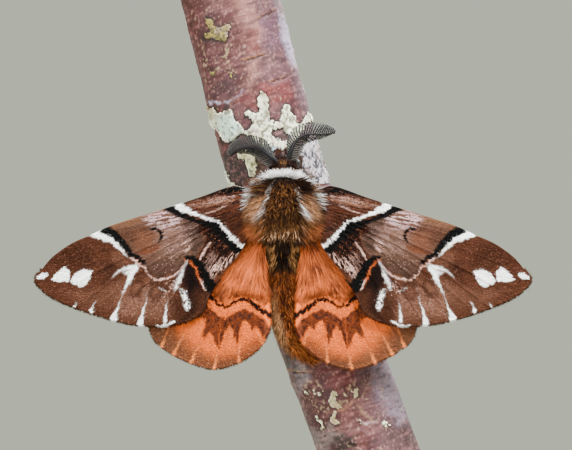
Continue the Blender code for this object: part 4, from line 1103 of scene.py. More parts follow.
def silky_hair(name, wing, side, area, length, rise, tones, count, surface, seed, limit=None):
    """Long silky hair that lies over a wing's root, in locks that part a little. None of it crosses the
    limit, a line in the photograph's pixels."""
    draw = np.random.default_rng(seed)
    points = wing.scatter(0.1, seed)
    weight = patch(seen(-points[:, 0], points[:, 1]), area, 8)
    points = points[draw.random(len(points)) < weight]
    count = min(thinned(count), len(points))
    points = points[draw.permutation(len(points))[:count]]
    root = wing.surface(points, side, -1)
    normal = wing.normals(points, side, -1)
    lie = wing.lie(points, side)
    across = np.cross(lie, normal)
    lock = grain(points, 0.55, seed + 1) - 0.5
    lie = unit(lie + across * (lock * 0.5)[:, None] + draw.normal(0, 0.06, lie.shape))
    lie[:, 0] -= side * 0.3 * ramp(-points[:, 0], -3.6, -2.6)
    reach = length * draw.uniform(0.6, 1.15, (count, 1))
    if limit is not None:
        room, _ = measure(seen(-points[:, 0], points[:, 1]), limit)
        reach = np.minimum(reach, np.maximum(room[:, None] * PIXEL - 0.1, 0.3))
    high = rise * draw.uniform(0.3, 1.0, (count, 1)) * np.minimum(1, reach / length * 1.6)
    spots = points + np.stack((side * lie[:, 0], lie[:, 2]), -1) * reach * 0.5
    ends = points + np.stack((side * lie[:, 0], lie[:, 2]), -1) * reach
    middle = wing.surface(spots, side, -1) + normal * high
    end = wing.surface(ends, side, -1) + normal * high * 0.4
    low, high_tone = tones
    mix = np.clip(0.5 + lock[:, None] * 1.3 + draw.normal(0, 0.24, (count, 1)), 0, 1)
    colour = low + (high_tone - low) * mix
    path = root - normal * 0.05, middle, end
    return grow_hair(name, path, across, 0.085, 0.05, (colour * 0.75, colour), wing.unwrap(points), surface)


# Body

BODY = smooth_curve(BODY_SECTIONS, 12)
BODY_FAR = lengths_along(BODY[:, :3])


def body_places(share, angle):
    """Places on the bare body: a share of its length from the head, and an angle from the middle of its
    back."""
    values = [np.interp(share, BODY_FAR, BODY[:, i]) for i in range(5)]
    centre = np.stack(values[:3], -1)
    step = 0.006

    def middle(at):
        return np.stack([np.interp(at, BODY_FAR, BODY[:, i]) for i in range(3)], -1)

    tangent = unit(middle(np.minimum(share + step, 1)) - middle(np.maximum(share - step, 0)))
    right = unit(np.cross(tangent, (0.0, 1.0, 0.0)))
    front = np.cross(tangent, right)
    across, deep = (np.sin(angle) * values[3])[:, None], (np.cos(angle) * values[4])[:, None]
    return centre + right * across + front * deep


def body_surface(share, angle):
    """Places on the bare body, the ways out of it and the ways towards its tail."""
    place = body_places(share, angle)
    step = 0.004
    back = body_places(np.minimum(share + step, 1), angle) - body_places(np.maximum(share - step, 0), angle)
    round_it = body_places(share, angle + 0.02) - body_places(share, angle - 0.02)
    normal = unit(np.cross(back, round_it))
    return place, normal, unit(back)


def collar_height(angle):
    """The height of the white collar's middle, at an angle from the middle of the back."""
    return 4.85 - 1.55 * np.abs(np.sin(angle)) ** 3


def body_colours(points, shown, draw):
    """The fur's colours at points of the body. shown is 1 where the back's markings show and 0 beneath."""
    x, z = points[:, 0], points[:, 2]
    p = seen(x, z)
    mirrored = np.stack((2 * THORAX_PIXEL[0] - p[:, 0], p[:, 1]), -1)
    left = np.where(p[:, :1] < THORAX_PIXEL[0], p, mirrored)
    left = left + draw.normal(0, 1.0, left.shape)
    count = len(points)
    clump = grain(np.stack((x, z), -1), 0.42, 22)
    lit = (draw.random(count) < 0.33) * (0.45 + 0.55 * draw.random(count))
    gold = np.clip(0.5 * (clump - 0.5) + 0.02 + lit, 0, 1)[:, None]
    dark, golden = paint(22, 13, 9), paint(194, 150, 102)
    tip = dark + (golden - dark) * gold

    def cover(other, amount):
        lay(tip, other, amount)

    # Thorax
    cover(paint(24, 14, 9), patch(left, ((248, 174), (284, 172), (284, 187), (266, 189), (250, 198)), 4)
          * 0.8)
    strand = np.where(draw.random(count) < 0.62, 0.7 + 0.3 * draw.random(count), 0.08)
    side = patch(left, ((243, 204), (258, 200), (260, 212), (253, 228), (241, 222)), 4)
    cover(paint(222, 198, 176), side * strand * np.where(draw.random(count) < 0.72, 1.0, 0.12))
    cover(paint(104, 66, 34), patch(left, ((262, 216), (284, 214), (284, 228), (258, 228)), 5) * 0.5)
    cover(paint(250, 244, 236), stroke(left, ((267, 190), (265, 198), (261, 208), (254, 221)),
                                       (2, 3, 4, 4.5), 1.2)
          * (0.3 + 0.7 * strand))
    shoulder = ((231, 187), (241, 187), (243, 196), (240, 205), (238, 212), (231, 210))
    cover(paint(250, 246, 246), patch(left, shoulder, 1.5))
    cover(paint(174, 134, 92), patch(left, ((250, 226), (284, 231), (284, 240), (262, 240), (250, 236)), 3)
          * strand * 0.7)
    pale_end = (draw.random(count) < 0.14) * patch(left, ((256, 235), (284, 237), (284, 246), (256, 246)), 2)
    cover(paint(230, 212, 196), pale_end)
    cover(paint(216, 162, 122), patch(left, ((234, 224), (247, 229), (256, 240), (258, 262), (236, 262)), 4)
          * (0.3 + 0.55 * strand))

    # Abdomen
    abdomen = ramp(-z, 3.2, 3.8)
    cover(paint(18, 11, 8), abdomen * (0.95 - 0.88 * (draw.random(count) < 0.24)))
    cover(paint(222, 194, 154), abdomen * patch(left, ((265, 250), (274, 252), (275, 268), (268, 276)), 2.5)
          * (draw.random(count) < 0.5))
    lay(tip, paint(214, 152, 98) * (0.08 + 1.0 * draw.random((count, 1)) ** 2.2), abdomen
        * ramp(-z, 7.0, 8.4) * 0.95)
    cover(paint(36, 18, 9), abdomen * ramp(-z, 7.6, 9.0) * (draw.random(count) < 0.33) * (np.abs(x) < 1.1)
          * 0.85)
    leftward = ramp(np.interp(-z, (8, 12, 17), (-0.6, -0.3, 1.6)) - x, 0.0, 1.2)
    cover(paint(214, 188, 158), ramp(-z, 8.5, 12.0) * leftward * strand)
    cover(paint(208, 152, 100), ramp(-z, 14.0, 16.4) * (1 - leftward) * (draw.random(count) < 0.5))
    cover(paint(140, 104, 70), (1 - shown) * 0.75)

    # Head
    cover(paint(50, 26, 27), ramp(z, 5.5, 5.9) * 0.9)
    cover(paint(156, 120, 84), ramp(z, 5.9, 6.1) * ramp(-z, -7.0, -6.6) * (np.abs(x) < 0.5) * 0.85)
    return tip


def body_skin(surface):
    """One closed skin for head, collar, thorax and abdomen."""
    mesh, ball = bent_ball("body_skin", 72, 150)
    share = np.arccos(np.clip(ball[:, 2], -1, 1)) / math.pi
    angle = np.arctan2(ball[:, 0], -ball[:, 1])
    points = body_places(share, angle)
    colours = body_colours(points, ramp(np.cos(angle), -0.3, 0.3), np.random.default_rng(21)) * 0.3
    away = np.abs(points[:, 2] - collar_height(angle))
    lay(colours, paint(150, 136, 128), ramp(-away, -0.3, -0.18))
    place_corners(mesh, in_world(points))
    face_outward(mesh)
    colour_corners(mesh, colours)
    return add_piece("body_skin", mesh, surface, ("head", "collar", "thorax", "abdomen"))


def body_roots(count, span, seed, keep):
    """Evenly spread roots over a stretch of the body's length, as shares and angles. keep says which of
    them to grow, from their heights and angles."""
    tried = spread_evenly(count * 6, seed)
    share = span[0] + (span[1] - span[0]) * tried[:, 0]
    angle = (tried[:, 1] * 2 - 1) * math.pi
    wide = np.interp(share, BODY_FAR, BODY[:, 3])
    low, high = np.interp(span, BODY_FAR, range(len(BODY_FAR))).astype(int)
    draw = np.random.default_rng(seed)
    chosen = draw.random(len(share)) < wide / BODY[low:high + 1, 3].max()
    if keep is not None:
        chosen &= keep(body_places(share, angle)[:, 2], angle)
    return share[chosen][:thinned(count)], angle[chosen][:thinned(count)]


def body_coat(name, surface, count, heights, seed, reach, rise, flow=1.0, outward=0.0, ruffle=0.15,
              clump=0.3, droop=0.3, width=0.09, tone=None, keep=None, shape=HAIR):
    """Fur over a stretch of the body between two heights. Each tuft leans by rise out of the skin, by flow
    towards the tail and by outward to its own side, and clumps of them lean alike."""
    span = [height if isinstance(height,
                                 float) and 0 <= height <= 1 else on_share(height) for height in heights]
    share, angle = body_roots(count, span, seed, keep)
    draw = np.random.default_rng(seed + 1)
    root, normal, back = body_surface(share, angle)
    count = len(share)
    across = np.cross(back, normal)
    spots = np.stack((root[:, 2], angle * 2.6), -1)
    sway = (grain(spots, 0.5, seed + 2) - 0.5) * clump * 4
    lift = rise * (1 + (grain(spots, 0.55, seed + 3) - 0.5) * clump * 2.4)
    flow = flow(root[:, 2])[:, None] if callable(flow) else flow
    way = back * flow + normal * lift[:, None] + across * sway[:, None]
    way += np.sign(root[:, :1]) * np.array((outward, 0.0, 0.0))
    way = unit(way) + draw.normal(0, ruffle, way.shape)
    sunk = np.minimum((way * normal).sum(1, keepdims=True), 0.0)
    way = unit(way - normal * sunk)
    reach = reach(root[:, 2], angle)[:, None] if callable(reach) else reach
    reach = reach * draw.uniform(0.65, 1.15, (count, 1))
    middle = root + way * reach * 0.5 + normal * reach * 0.08
    end = root + way * reach + (back * 0.5 - normal) * droop * reach * 0.5
    if tone is None:
        shown = ramp(np.cos(angle), -0.3, 0.3)
        state = draw.bit_generator.state
        tip = body_colours(end, shown, draw)
        draw.bit_generator.state = state
        low = body_colours(root, shown, draw)
        # Painted shade: the roots are far darker than the tips, as the shade deep in the fur
        colours = low * 0.1 + tip * 0.06, tip
    else:
        low, high = tone
        tip = low + (high - low) * np.clip(draw.normal(0.65, 0.25, (count, 1)), 0, 1)
        colours = (tip * 0.7, tip)
    places = np.stack((share, angle / (2 * math.pi) + 0.5), -1)
    wide = width * draw.uniform(0.7, 1.2, count)
    path = root - normal * 0.12, middle, end
    return grow_hair(name, path, across, wide, wide * 0.6, colours, places, surface, shape)


def on_share(height):
    """The share of the body's length at which its middle reaches a height, above the tail's bend."""
    return float(np.interp(-height, -BODY[:200, 2], BODY_FAR[:200]))


# Settings

def colour_setting(name, description, default):
    """A colour that a user can change."""
    return FloatVectorProperty(
        name=name, description=description, subtype="COLOR", size=3, min=0.0, max=1.0, default=tuple(default)
    )


class MothWingSettings(bpy.types.PropertyGroup):
    """Sizes of the wings' scales"""

    fore_spacing: FloatProperty(
        name="Forewing scales", description="Distance between the scales of a forewing's front",
        default=0.125 * MM, min=0.1 * MM, max=1 * MM, precision=5, unit="LENGTH",
    )
    hind_spacing: FloatProperty(
        name="Hindwing scales", description="Distance between the scales of a hindwing's front",
        default=0.13 * MM, min=0.1 * MM, max=1 * MM, precision=5, unit="LENGTH",
    )
    under_spacing: FloatProperty(
        name="Scales beneath", description="Distance between the scales of the wings' undersides",
        default=0.22 * MM, min=0.1 * MM, max=1 * MM, precision=5, unit="LENGTH",
    )


class MothStageSettings(bpy.types.PropertyGroup):
    """Floor and lights"""

    floor_colour: colour_setting("Floor", "Colour of the pale floor", paint(206, 206, 200))
    sky_colour: colour_setting("Surroundings", "Colour of the even light all round",
                               paint(178, 181, 172, 0.9))
    key_power: FloatProperty(
        name="Key light", description="Power of the soft light above and to the right", default=14.0,
        min=0.0,
        unit="POWER",
    )


# Operators

class MOTH_OT_stage(bpy.types.Operator):
    """Adds the pale floor, the soft lights and the camera"""

    bl_idname = "moth.stage"
    bl_label = "Stage"

    def execute(self, context):
        settings = context.scene.moth_stage
        build_camera(context)
        build_floor(settings)
        build_lights(settings)
        return {"FINISHED"}


def build_camera(context):
    """A long lens, level with the moth and square to its wings, framed as the photograph is."""
    data = bpy.data.cameras.new("camera")
    data.sensor_width = SENSOR
    data.lens = SENSOR * CAMERA_FAR / (PHOTO_SIZE[0] * PIXEL)
    data.clip_start = 0.01
    data.clip_end = 20
    camera = bpy.data.objects.new("camera", data)
    context.scene.collection.objects.link(camera)
    middle = ((PHOTO_SIZE[0] / 2 - THORAX_PIXEL[0]) * PIXEL, (THORAX_PIXEL[1] - PHOTO_SIZE[1] / 2) * PIXEL)
    camera.location = (middle[0] * MM, (WING_PLANE - CAMERA_FAR) * MM, (THORAX_PLACE[2] + middle[1]) * MM)
    camera.rotation_euler = (math.radians(90), 0, 0)
    context.scene.camera = camera


def build_floor(settings):
    """A pale disc that fades out round its edge."""
    bm = bmesh.new()
    bmesh.ops.create_circle(bm, cap_ends=True, segments=96, radius=0.19)
    mesh = bmesh_to_mesh("floor", bm)
    floor = bpy.data.objects.new("floor", mesh)
    bpy.context.scene.collection.objects.link(floor)
    made = bpy.data.materials.new("floor_paper")
    made.use_nodes = True
    tree = made.node_tree
    shader = tree.nodes["Principled BSDF"]
    shader.inputs["Base Color"].default_value = (*settings.floor_colour, 1.0)
    shader.inputs["Roughness"].default_value = 0.9
    place = add_node(tree, "ShaderNodeTexCoord")
    far = add_node(tree, "ShaderNodeVectorMath", operation="LENGTH")
    fade = add_node(tree, "ShaderNodeMapRange", interpolation_type="SMOOTHSTEP")
    for label, value in (("From Min", 0.1), ("From Max", 0.185), ("To Min", 1.0), ("To Max", 0.0)):
        fade.inputs[label].default_value = value
    tree.links.new(place.outputs["Object"], far.inputs[0])
    tree.links.new(far.outputs["Value"], fade.inputs["Value"])
    tree.links.new(fade.outputs["Result"], shader.inputs["Alpha"])
    mesh.materials.append(made)


def build_lights(settings):
    """Even light all round, a large soft key above and to the right, and a weaker fill from the left."""
    world = bpy.data.worlds.new("studio")
    bpy.context.scene.world = world
    world.use_nodes = True
    world.node_tree.nodes["Background"].inputs["Color"].default_value = (*settings.sky_colour, 1.0)
    world.node_tree.nodes["Background"].inputs["Strength"].default_value = 0.9
    for name, power, size, place in (
        ("key", settings.key_power, 0.2, (0.16, -0.26, 0.4)),
        ("fill", settings.key_power * 0.3, 0.3, (-0.3, -0.3, 0.14)),
        ("rim", settings.key_power * 0.4, 0.2, (0.14, 0.3, 0.3)),
    ):
        data = bpy.data.lights.new(name, "AREA")
        data.energy = power
        data.size = size
        lamp = bpy.data.objects.new(name, data)
        bpy.context.scene.collection.objects.link(lamp)
        lamp.location = place
        aim = Vector((0, -0.01, 0.042)) - lamp.location
        lamp.rotation_euler = aim.to_track_quat("-Z", "Y").to_euler()


class MOTH_OT_wings(bpy.types.Operator):
    """Builds the four wings: membranes with veins, scales on both faces, fringes and silky hair"""

    bl_idname = "moth.wings"
    bl_label = "Wings"

    def execute(self, context):
        settings = context.scene.moth_wings
        coat = finish("wing_scales", 0.75, 6000, 0.35, 0.25, attribute="coat", Specular_IOR_Level=0.03)
        hair = finish("silky_hair", 0.5, 4000, 0.3, 0.1, attribute="coat", Specular_IOR_Level=0.1)
        fore = Wing(FOREWING_OUTLINE, FOREWING_VEINS, FOREWING_LEVEL)
        hind = Wing(HINDWING_OUTLINE, HINDWING_VEINS, HINDWING_LEVEL)
        under = settings.under_spacing / MM
        for word, side in SIDES:
            seed = 100 if side < 0 else 200
            for kind, wing, between, columns in (("forewing", fore, 8, 90), ("hindwing", hind, 10, 70)):
                wing_skin(f"{kind}_{word}_skin", wing, kind, side, coat, between, columns)
            for kind, wing, spacing, more in (
                ("forewing", fore, settings.fore_spacing, 0), ("hindwing", hind, settings.hind_spacing, 10),
            ):
                wing_scales(f"{kind}_{word}_scales", wing, kind, side, -1, spacing / MM, coat, seed + more)
            for kind, wing, more in (("forewing", fore, 20), ("hindwing", hind, 30)):
                wing_scales(f"{kind}_{word}_underscales", wing, kind, side, 1, under, coat, seed + more)
            for kind, wing, first, more in (("forewing", fore, 0.44, 40), ("hindwing", hind, 0.3, 50)):
                wing_fringe(f"{kind}_{word}_fringe", wing, kind, side, (first, 0.86), coat, seed + more)
            silky_hair(
                f"hindwing_{word}_hair", hind, side,
                ((262, 236), (240, 244), (204, 284), (222, 300), (240, 296), (262, 306), (274, 312),
                 (274, 240)),
                3.6, 0.45, (paint(130, 66, 40), paint(226, 160, 112)), 3600, hair, seed + 60, WAVY_LINE,
            )
            silky_hair(
                f"forewing_{word}_hair", fore, side,
                ((262, 186), (246, 192), (238, 206), (240, 230), (250, 240), (262, 240)),
                1.3, 0.3, (CHOCOLATE, RUST), 700, hair, seed + 70,
            )
        return {"FINISHED"}


class MOTH_OT_body(bpy.types.Operator):
    """Builds the body's skin and the fur of thorax, collar, head and abdomen"""

    bl_idname = "moth.body"
    bl_label = "Body and fur"

    def execute(self, context):
        fur = finish("fur", 0.6, 3000, 0.3, 0.1, attribute="coat", Specular_IOR_Level=0.06)
        body_skin(fur)

        def on_back(height, angle):
            return (np.cos(angle) > -0.15) & (height < collar_height(angle) - 0.3)

        def beneath(height, angle):
            return (np.cos(angle) <= -0.15) & (height < collar_height(angle) - 0.3)

        def beside(height, angle):
            turn = np.degrees(np.abs(angle))
            return (turn > 26) & (turn < 66) & (height < collar_height(angle) - 0.4)

        def near_middle(height, angle):
            turn = np.degrees(np.abs(angle))
            return (turn > 8) & (turn < 60)

        def on_collar(height, angle):
            return np.abs(height - collar_height(angle)) < 0.27

        def collar_reach(height, angle):
            return 0.85 + 0.8 * np.abs(np.sin(angle)) ** 2

        def collar_flow(height):
            return -0.25 * ramp(height, 3.4, 4.8)

        def shoulder_flow(height):
            return 0.6 - 0.75 * ramp(height, 2.0, 4.0)

        def at_rear(height, angle):
            return np.cos(angle) > -0.2

        body_coat("thorax_fur_back", fur, 8400, (4.9, -2.6), 31, 1.45, 0.75, 0.8, ruffle=0.34,
                  clump=0.5, width=0.1, keep=on_back)
        body_coat("thorax_fur_under", fur, 2000, (4.9, -2.6), 35, 1.5, 0.5, width=0.14,
                  keep=beneath,
                  shape=SHORT_HAIR)
        body_coat("thorax_fur_sides", fur, 4800, (4.5, -1.8), 41, 2.9, 0.25, shoulder_flow,
                  1.0,
                  ruffle=0.2, droop=0.1, width=0.12, keep=beside)
        body_coat("thorax_fringe", fur, 3000, (-0.9, -2.9), 45, 1.9, 0.6, ruffle=0.2,
                  width=0.11,
                  keep=at_rear)
        white = paint(168, 150, 144), paint(252, 250, 252)
        body_coat("collar_fur_ruff", fur, 4500, (5.6, 3.0), 51, collar_reach, 1.0, collar_flow,
                  ruffle=0.22,
                  clump=0.4, droop=0.0, width=0.08, tone=white, keep=on_collar)
        body_coat("head_fur", fur, 2400, (0.012, 5.3), 55, 0.6, 0.5, -0.5, ruffle=0.25,
                  width=0.07,
                  droop=0.0, shape=SHORT_HAIR)
        body_coat("abdomen_fur_front", fur, 6200, (-3.0, -10.6), 61, 1.7, 0.5, ruffle=0.22,
                  clump=0.4)
        body_coat("abdomen_fur_tail", fur, 5000, (-10.0, 0.985), 65, 1.5, 0.55, ruffle=0.32,
                  clump=0.6)
        body_coat("abdomen_fur_lap", fur, 3000, (-3.4, -15.0), 69, 1.8, 0.8, 1.1, 0.2,
                  ruffle=0.2,
                  clump=0.18, droop=0.15, width=0.08, keep=near_middle)
        return {"FINISHED"}


def build_eyes():
    """Round black eyes with a fine net of facets, which take the light softly."""
    surface = finish("eye_facets", 0.48, 2500, 0.5, 0.1, colour=paint(20, 16, 15), Specular_IOR_Level=0.3,
                     Coat_Weight=0.05, Coat_Roughness=0.35)
    tree = surface.node_tree
    facets = add_node(tree, "ShaderNodeTexVoronoi", Scale=9000.0)
    place = find_node(tree, "ShaderNodeTexCoord")
    relief = find_node(tree, "ShaderNodeBump")
    tree.links.new(place.outputs["Object"], facets.inputs["Vector"])
    tree.links.new(facets.outputs["Distance"], relief.inputs["Height"])
    relief.invert = True
    relief.inputs["Strength"].default_value = 0.6
    for word, side in SIDES:
        bm = bmesh.new()
        bmesh.ops.create_icosphere(bm, subdivisions=4, radius=EYE_RADIUS - 0.02)
        mesh = bmesh_to_mesh(f"eye_{word}_facets", bm)
        place_corners(mesh, in_world(corners(mesh) + np.array(EYE_CENTRE) * (side, 1, 1)))
        add_piece(mesh.name, mesh, surface, (f"eye_{word}",))


def build_palps(fur):
    """The two short, hairy palps under the face."""
    for word, side in SIDES:
        tube = Tube(np.array(PALP_PATH) * (side, 1, 1), PALP_RADII)
        mesh = tube.mesh(f"palp_{word}_skin", 12, 14)
        colour_corners(mesh, np.tile(paint(72, 36, 26), (len(mesh.vertices), 1)))
        place_corners(mesh, in_world(corners(mesh)))
        add_piece(mesh.name, mesh, fur, (f"palp_{word}",))
        tones = paint(62, 26, 20), paint(134, 78, 48)
        tube.coat(f"palp_{word}_fur", fur, "leg_fur", 420, 71 + side, 0.6, 0.12, 0.05, tones, (0.05, 0.95))


def comb_reach(share, row):
    """How far an antenna's comb stands out at a share of its length: 1 is the front row, which is longest
    past the middle, and -1 the back row, which is longest near the root."""
    place = np.where(row > 0, np.maximum(1.12 * share - 0.14, 0.03), 0.82 * share + 0.18)
    return COMB_LENGTH * np.sin(math.pi * np.clip(place, 0, 1)) ** 0.6


def build_antenna(word, side, stem, horn):
    """A feathered antenna: a ringed stem, two close rows of curved teeth, and the fine bristles on them."""
    slot = "antenna"
    radii = np.array((0.3, 0.27, 0.19, 0.17, 0.15, 0.13, 0.07)) * 0.95
    tube = Tube(stem, radii, 8)
    mesh = tube.mesh(f"antenna_{word}_stem", 14, 90)
    points = corners(mesh)
    colour_corners(mesh, speckled(paint(26, 25, 28), points[:, [0, 2]], 0.12, 5))
    place_corners(mesh, in_world(points))
    add_piece(mesh.name, mesh, horn, (f"antenna_{word}",))
    tube.coat(f"antenna_{word}_scales", horn, slot, 900, 81 + side, 0.2, 0.02, 0.05,
              (paint(24, 22, 24), paint(70, 68, 70)), (0.1, 0.98))

    draw = np.random.default_rng(83 + side)
    teeth = 26
    share = np.concatenate((np.linspace(*COMB_SPAN, teeth), np.linspace(0.05, COMB_SPAN[1], teeth)))
    row = np.repeat((1.0, -1.0), teeth)
    root, tangent = tube.at(tube.line, share), unit(tube.at(tube.tangent, share))
    deep = np.array((0.0, 1.0, 0.0))
    across = unit(np.cross(deep, tangent)) * -side
    turn = np.radians(np.where(row > 0, 12.0, 6.0 + 80.0 * share))[:, None]
    way = across * row[:, None] * np.cos(turn) + deep * np.sin(turn)
    way = unit(way + tangent * 0.35 + draw.normal(0, 0.02, way.shape))
    reach = comb_reach(share, row)[:, None]
    middle = root + way * reach * 0.5
    end = root + (way + tangent * 0.2) * reach
    tone = np.tile(paint(20, 19, 21), (len(share), 1))
    places = np.stack((share, row * 0.2 + 0.5), -1)
    grow_hair(f"antenna_{word}_comb", (root, middle, end), tangent, 0.15, 0.16, (tone, tone * 1.4), places,
              horn,
              full=4.0)

    bristles = 46
    t = np.tile(np.linspace(0.12, 0.97, bristles), len(share))[:, None]
    pick = np.repeat(np.arange(len(share)), bristles)
    foot = bend(root[pick], middle[pick], end[pick], t)
    hand = np.where(np.arange(len(pick)) % 2 == 0, 1.0, -1.0)[:, None]
    lean = unit(tangent[pick] * hand + way[pick] * 0.7 + draw.normal(0, 0.12, foot.shape))
    size = 0.26
    # Painted light and shade: the front row's bristles take the paler tone, as lit, and the back row's the
    # darker one, as in shade
    back_row_shade, pale = paint(120, 115, 109), paint(126, 125, 123) if side < 0 else paint(140, 138, 136)
    tone = back_row_shade + (pale - back_row_shade) * np.where(row > 0, 1.0, 0.0)[pick, None]
    tone *= 0.8 + 0.4 * draw.random((len(pick), 1))
    # Painted light and shade: the bristles on one side of each tooth are lighter, as lit, and those on the
    # other darker, as shaded, which draws fine lines between the teeth
    tone *= np.where(hand > 0, 1.14, 0.62)
    rim = ramp(t[:, 0], 0.8, 0.9) * (row[pick] > 0) * ramp(-share[pick], -0.7, -0.5)
    tone *= 1 - 0.75 * rim[:, None]
    places = np.stack((share[pick], row[pick] * (0.1 + 0.3 * t[:, 0]) + 0.5), -1)
    grow_hair(f"antenna_{word}_bristles", (foot, foot + lean * size / 2, foot + lean * size),
              way[pick], 0.082, 0.03, (tone * 0.8, tone), places, horn,
              SHORT_HAIR)


class MOTH_OT_head(bpy.types.Operator):
    """Builds the eyes, palps and feathered antennae"""

    bl_idname = "moth.head"
    bl_label = "Eyes, palps and antennae"

    def execute(self, context):
        build_eyes()
        build_palps(finish("palp_fur", 0.6, 3000, 0.3, 0.1, attribute="coat", Specular_IOR_Level=0.2))
        horn = finish("horn", 0.45, 5000, 0.4, 0.2, attribute="coat", Specular_IOR_Level=0.08)
        build_antenna("left", -1, ANTENNA_LEFT, horn)
        build_antenna("right", 1, ANTENNA_RIGHT, horn)
        return {"FINISHED"}


# Branch

def branch_middle(height):
    """Where the branch's middle lies across, at a height over the thorax."""
    return BRANCH_AXIS_X - BRANCH_LEAN * height + BRANCH_BEND * height ** 2


def branch_radius(share):
    """The bark's radius at a share of the branch's height."""
    return BRANCH_RADIUS_FOOT + (BRANCH_RADIUS_TOP - BRANCH_RADIUS_FOOT) * share


def branch_surface(angle, height, lift=0.0):
    """Places on the bark in the world's millimetres. The angle is counted from +X; the front is at -90."""
    share = (height - BRANCH_FOOT) / (BRANCH_TOP - BRANCH_FOOT)
    uneven = 1 + 0.012 * np.sin(5 * share * math.pi + angle) + 0.01 * np.cos(3 * angle + 9 * share)
    radius = branch_radius(share) * uneven + lift
    x = branch_middle(height - THORAX_PLACE[2]) + radius * math.hypot(1.0, BRANCH_LEAN) * np.cos(angle)
    return np.stack((x, radius * np.sin(angle), height), -1)


def photographed(points):
    """The pixels at which the camera sees places given in the world's millimetres."""
    size = PIXEL * (points[..., 1] - WING_PLANE + CAMERA_FAR) / CAMERA_FAR
    middle = (PHOTO_SIZE[0] / 2, PHOTO_SIZE[1] / 2)
    eye_x = (middle[0] - THORAX_PIXEL[0]) * PIXEL
    eye_z = THORAX_PLACE[2] + (THORAX_PIXEL[1] - middle[1]) * PIXEL
    return np.stack((middle[0] + (points[..., 0] - eye_x) / size, middle[1] - (points[..., 2] - eye_z)
                     / size), -1)


# Cracks across the bark: where each is in the photograph, or by angle and height round the rest of it
CRACKS = (
    ((256, 18.5), (264, 15), (270, 12.5), (277, 8)), ((241, 60), (252, 57.5), (260, 55), (269, 51)),
    ((269, 81), (278, 79), (284, 77), (291, 73)), ((214, 36), (217, 32), (216, 27)),
    ((284, 369), (298, 372), (312, 371)),
)
CRACKS_ROUND = 26
BARK_FLAT_RADIUS = 6.2
ROUGH_TOP = ((196, 18), (236, 40), (242, 90), (206, 96))
ROUGH_FOOT = ((300, 372), (372, 376), (420, 450), (306, 450))
PEELED = ((209, 101), (216, 103.5), (225, 102), (232, 97), (238, 94.5), (242, 90))
SCAR = (358, 437)


def bark_flat(angle, height):
    """The bark rolled flat, in millimetres: round the branch and along its leaning line."""
    return np.stack((angle * BARK_FLAT_RADIUS, height - BRANCH_LEAN * BARK_FLAT_RADIUS * np.cos(angle)), -1)


def bark_relief(angle, height, pixels, front):
    """How far the bark stands out, and the amounts of its marks: cracks, lips, peeled edges, crumbs."""
    flat = bark_flat(angle, height)
    wrinkles = grain(flat * (0.35, 2.6), 1.0, 301) * 0.6 + grain(flat * (0.9, 5.0), 1.0, 302) * 0.4
    lumps = grain(flat, 3.2, 303) * 0.6 + grain(flat, 1.3, 304) * 0.4
    lift = (wrinkles - 0.5) * 0.07 + (lumps - 0.5) * 0.2
    crack = np.zeros(len(flat))
    lip = np.zeros(len(flat))
    for line in CRACKS:
        beads = ramp(grain(pixels, 2.2, 311), 0.3, 0.6)
        crack = np.maximum(crack, stroke(pixels, np.array(line) + (0.3, 1.1), (0.6, 1.2, 1.3, 0.6), 0.6)
                           * front)
        lip = np.maximum(lip, stroke(pixels, line, (1.2, 3, 3.2, 1.2), 0.8) * front * beads)
    draw = np.random.default_rng(310)
    for _ in range(CRACKS_ROUND):
        a, h = draw.uniform(-0.1, math.pi + 0.1), draw.uniform(BRANCH_FOOT + 2, BRANCH_TOP - 2)
        half = draw.uniform(0.5, 1.5)
        middle = a * BARK_FLAT_RADIUS
        line = (middle - half, h), (middle, h + 0.12), (middle + half, h)
        crack = np.maximum(crack, stroke(flat, line, (0.04, 0.16, 0.04), 0.06))
        lip = np.maximum(lip, stroke(flat, line, (0.2, 0.55, 0.2), 0.15))
    ragged = jitter(flat, 0.5, (312, 313))
    peel = stroke(pixels + ragged * 5, PEELED, (2.6, 4.2, 3, 1.2, 1.0, 0.6), 1.2) * front
    peel *= ramp(grain(flat, 0.45, 314), 0.05, 0.45)
    rough = front * np.maximum(patch(pixels, ROUGH_TOP, 9), patch(pixels, ROUGH_FOOT, 9))
    rough = np.maximum(rough, (1 - front) * ramp(grain(flat, 6.0, 307), 0.5, 0.8))
    crumbs = ramp(grain(flat, 0.26, 305) * 0.6 + grain(flat, 1.3, 306) * 0.4 + rough * 0.1, 0.8, 0.88)
    away = np.linalg.norm((pixels - SCAR) * (0.8, 1.15), axis=1)
    scar = ramp(-away, -11, -8) * front
    rings = scar * (0.5 + 0.5 * np.cos(away * 1.9))
    lift += lip * 0.11 - crack * 0.2 + peel * 0.06 + crumbs * 0.06 + scar * 0.12 + rings * 0.09
    return lift, crack, lip, peel, crumbs, scar, wrinkles, lumps


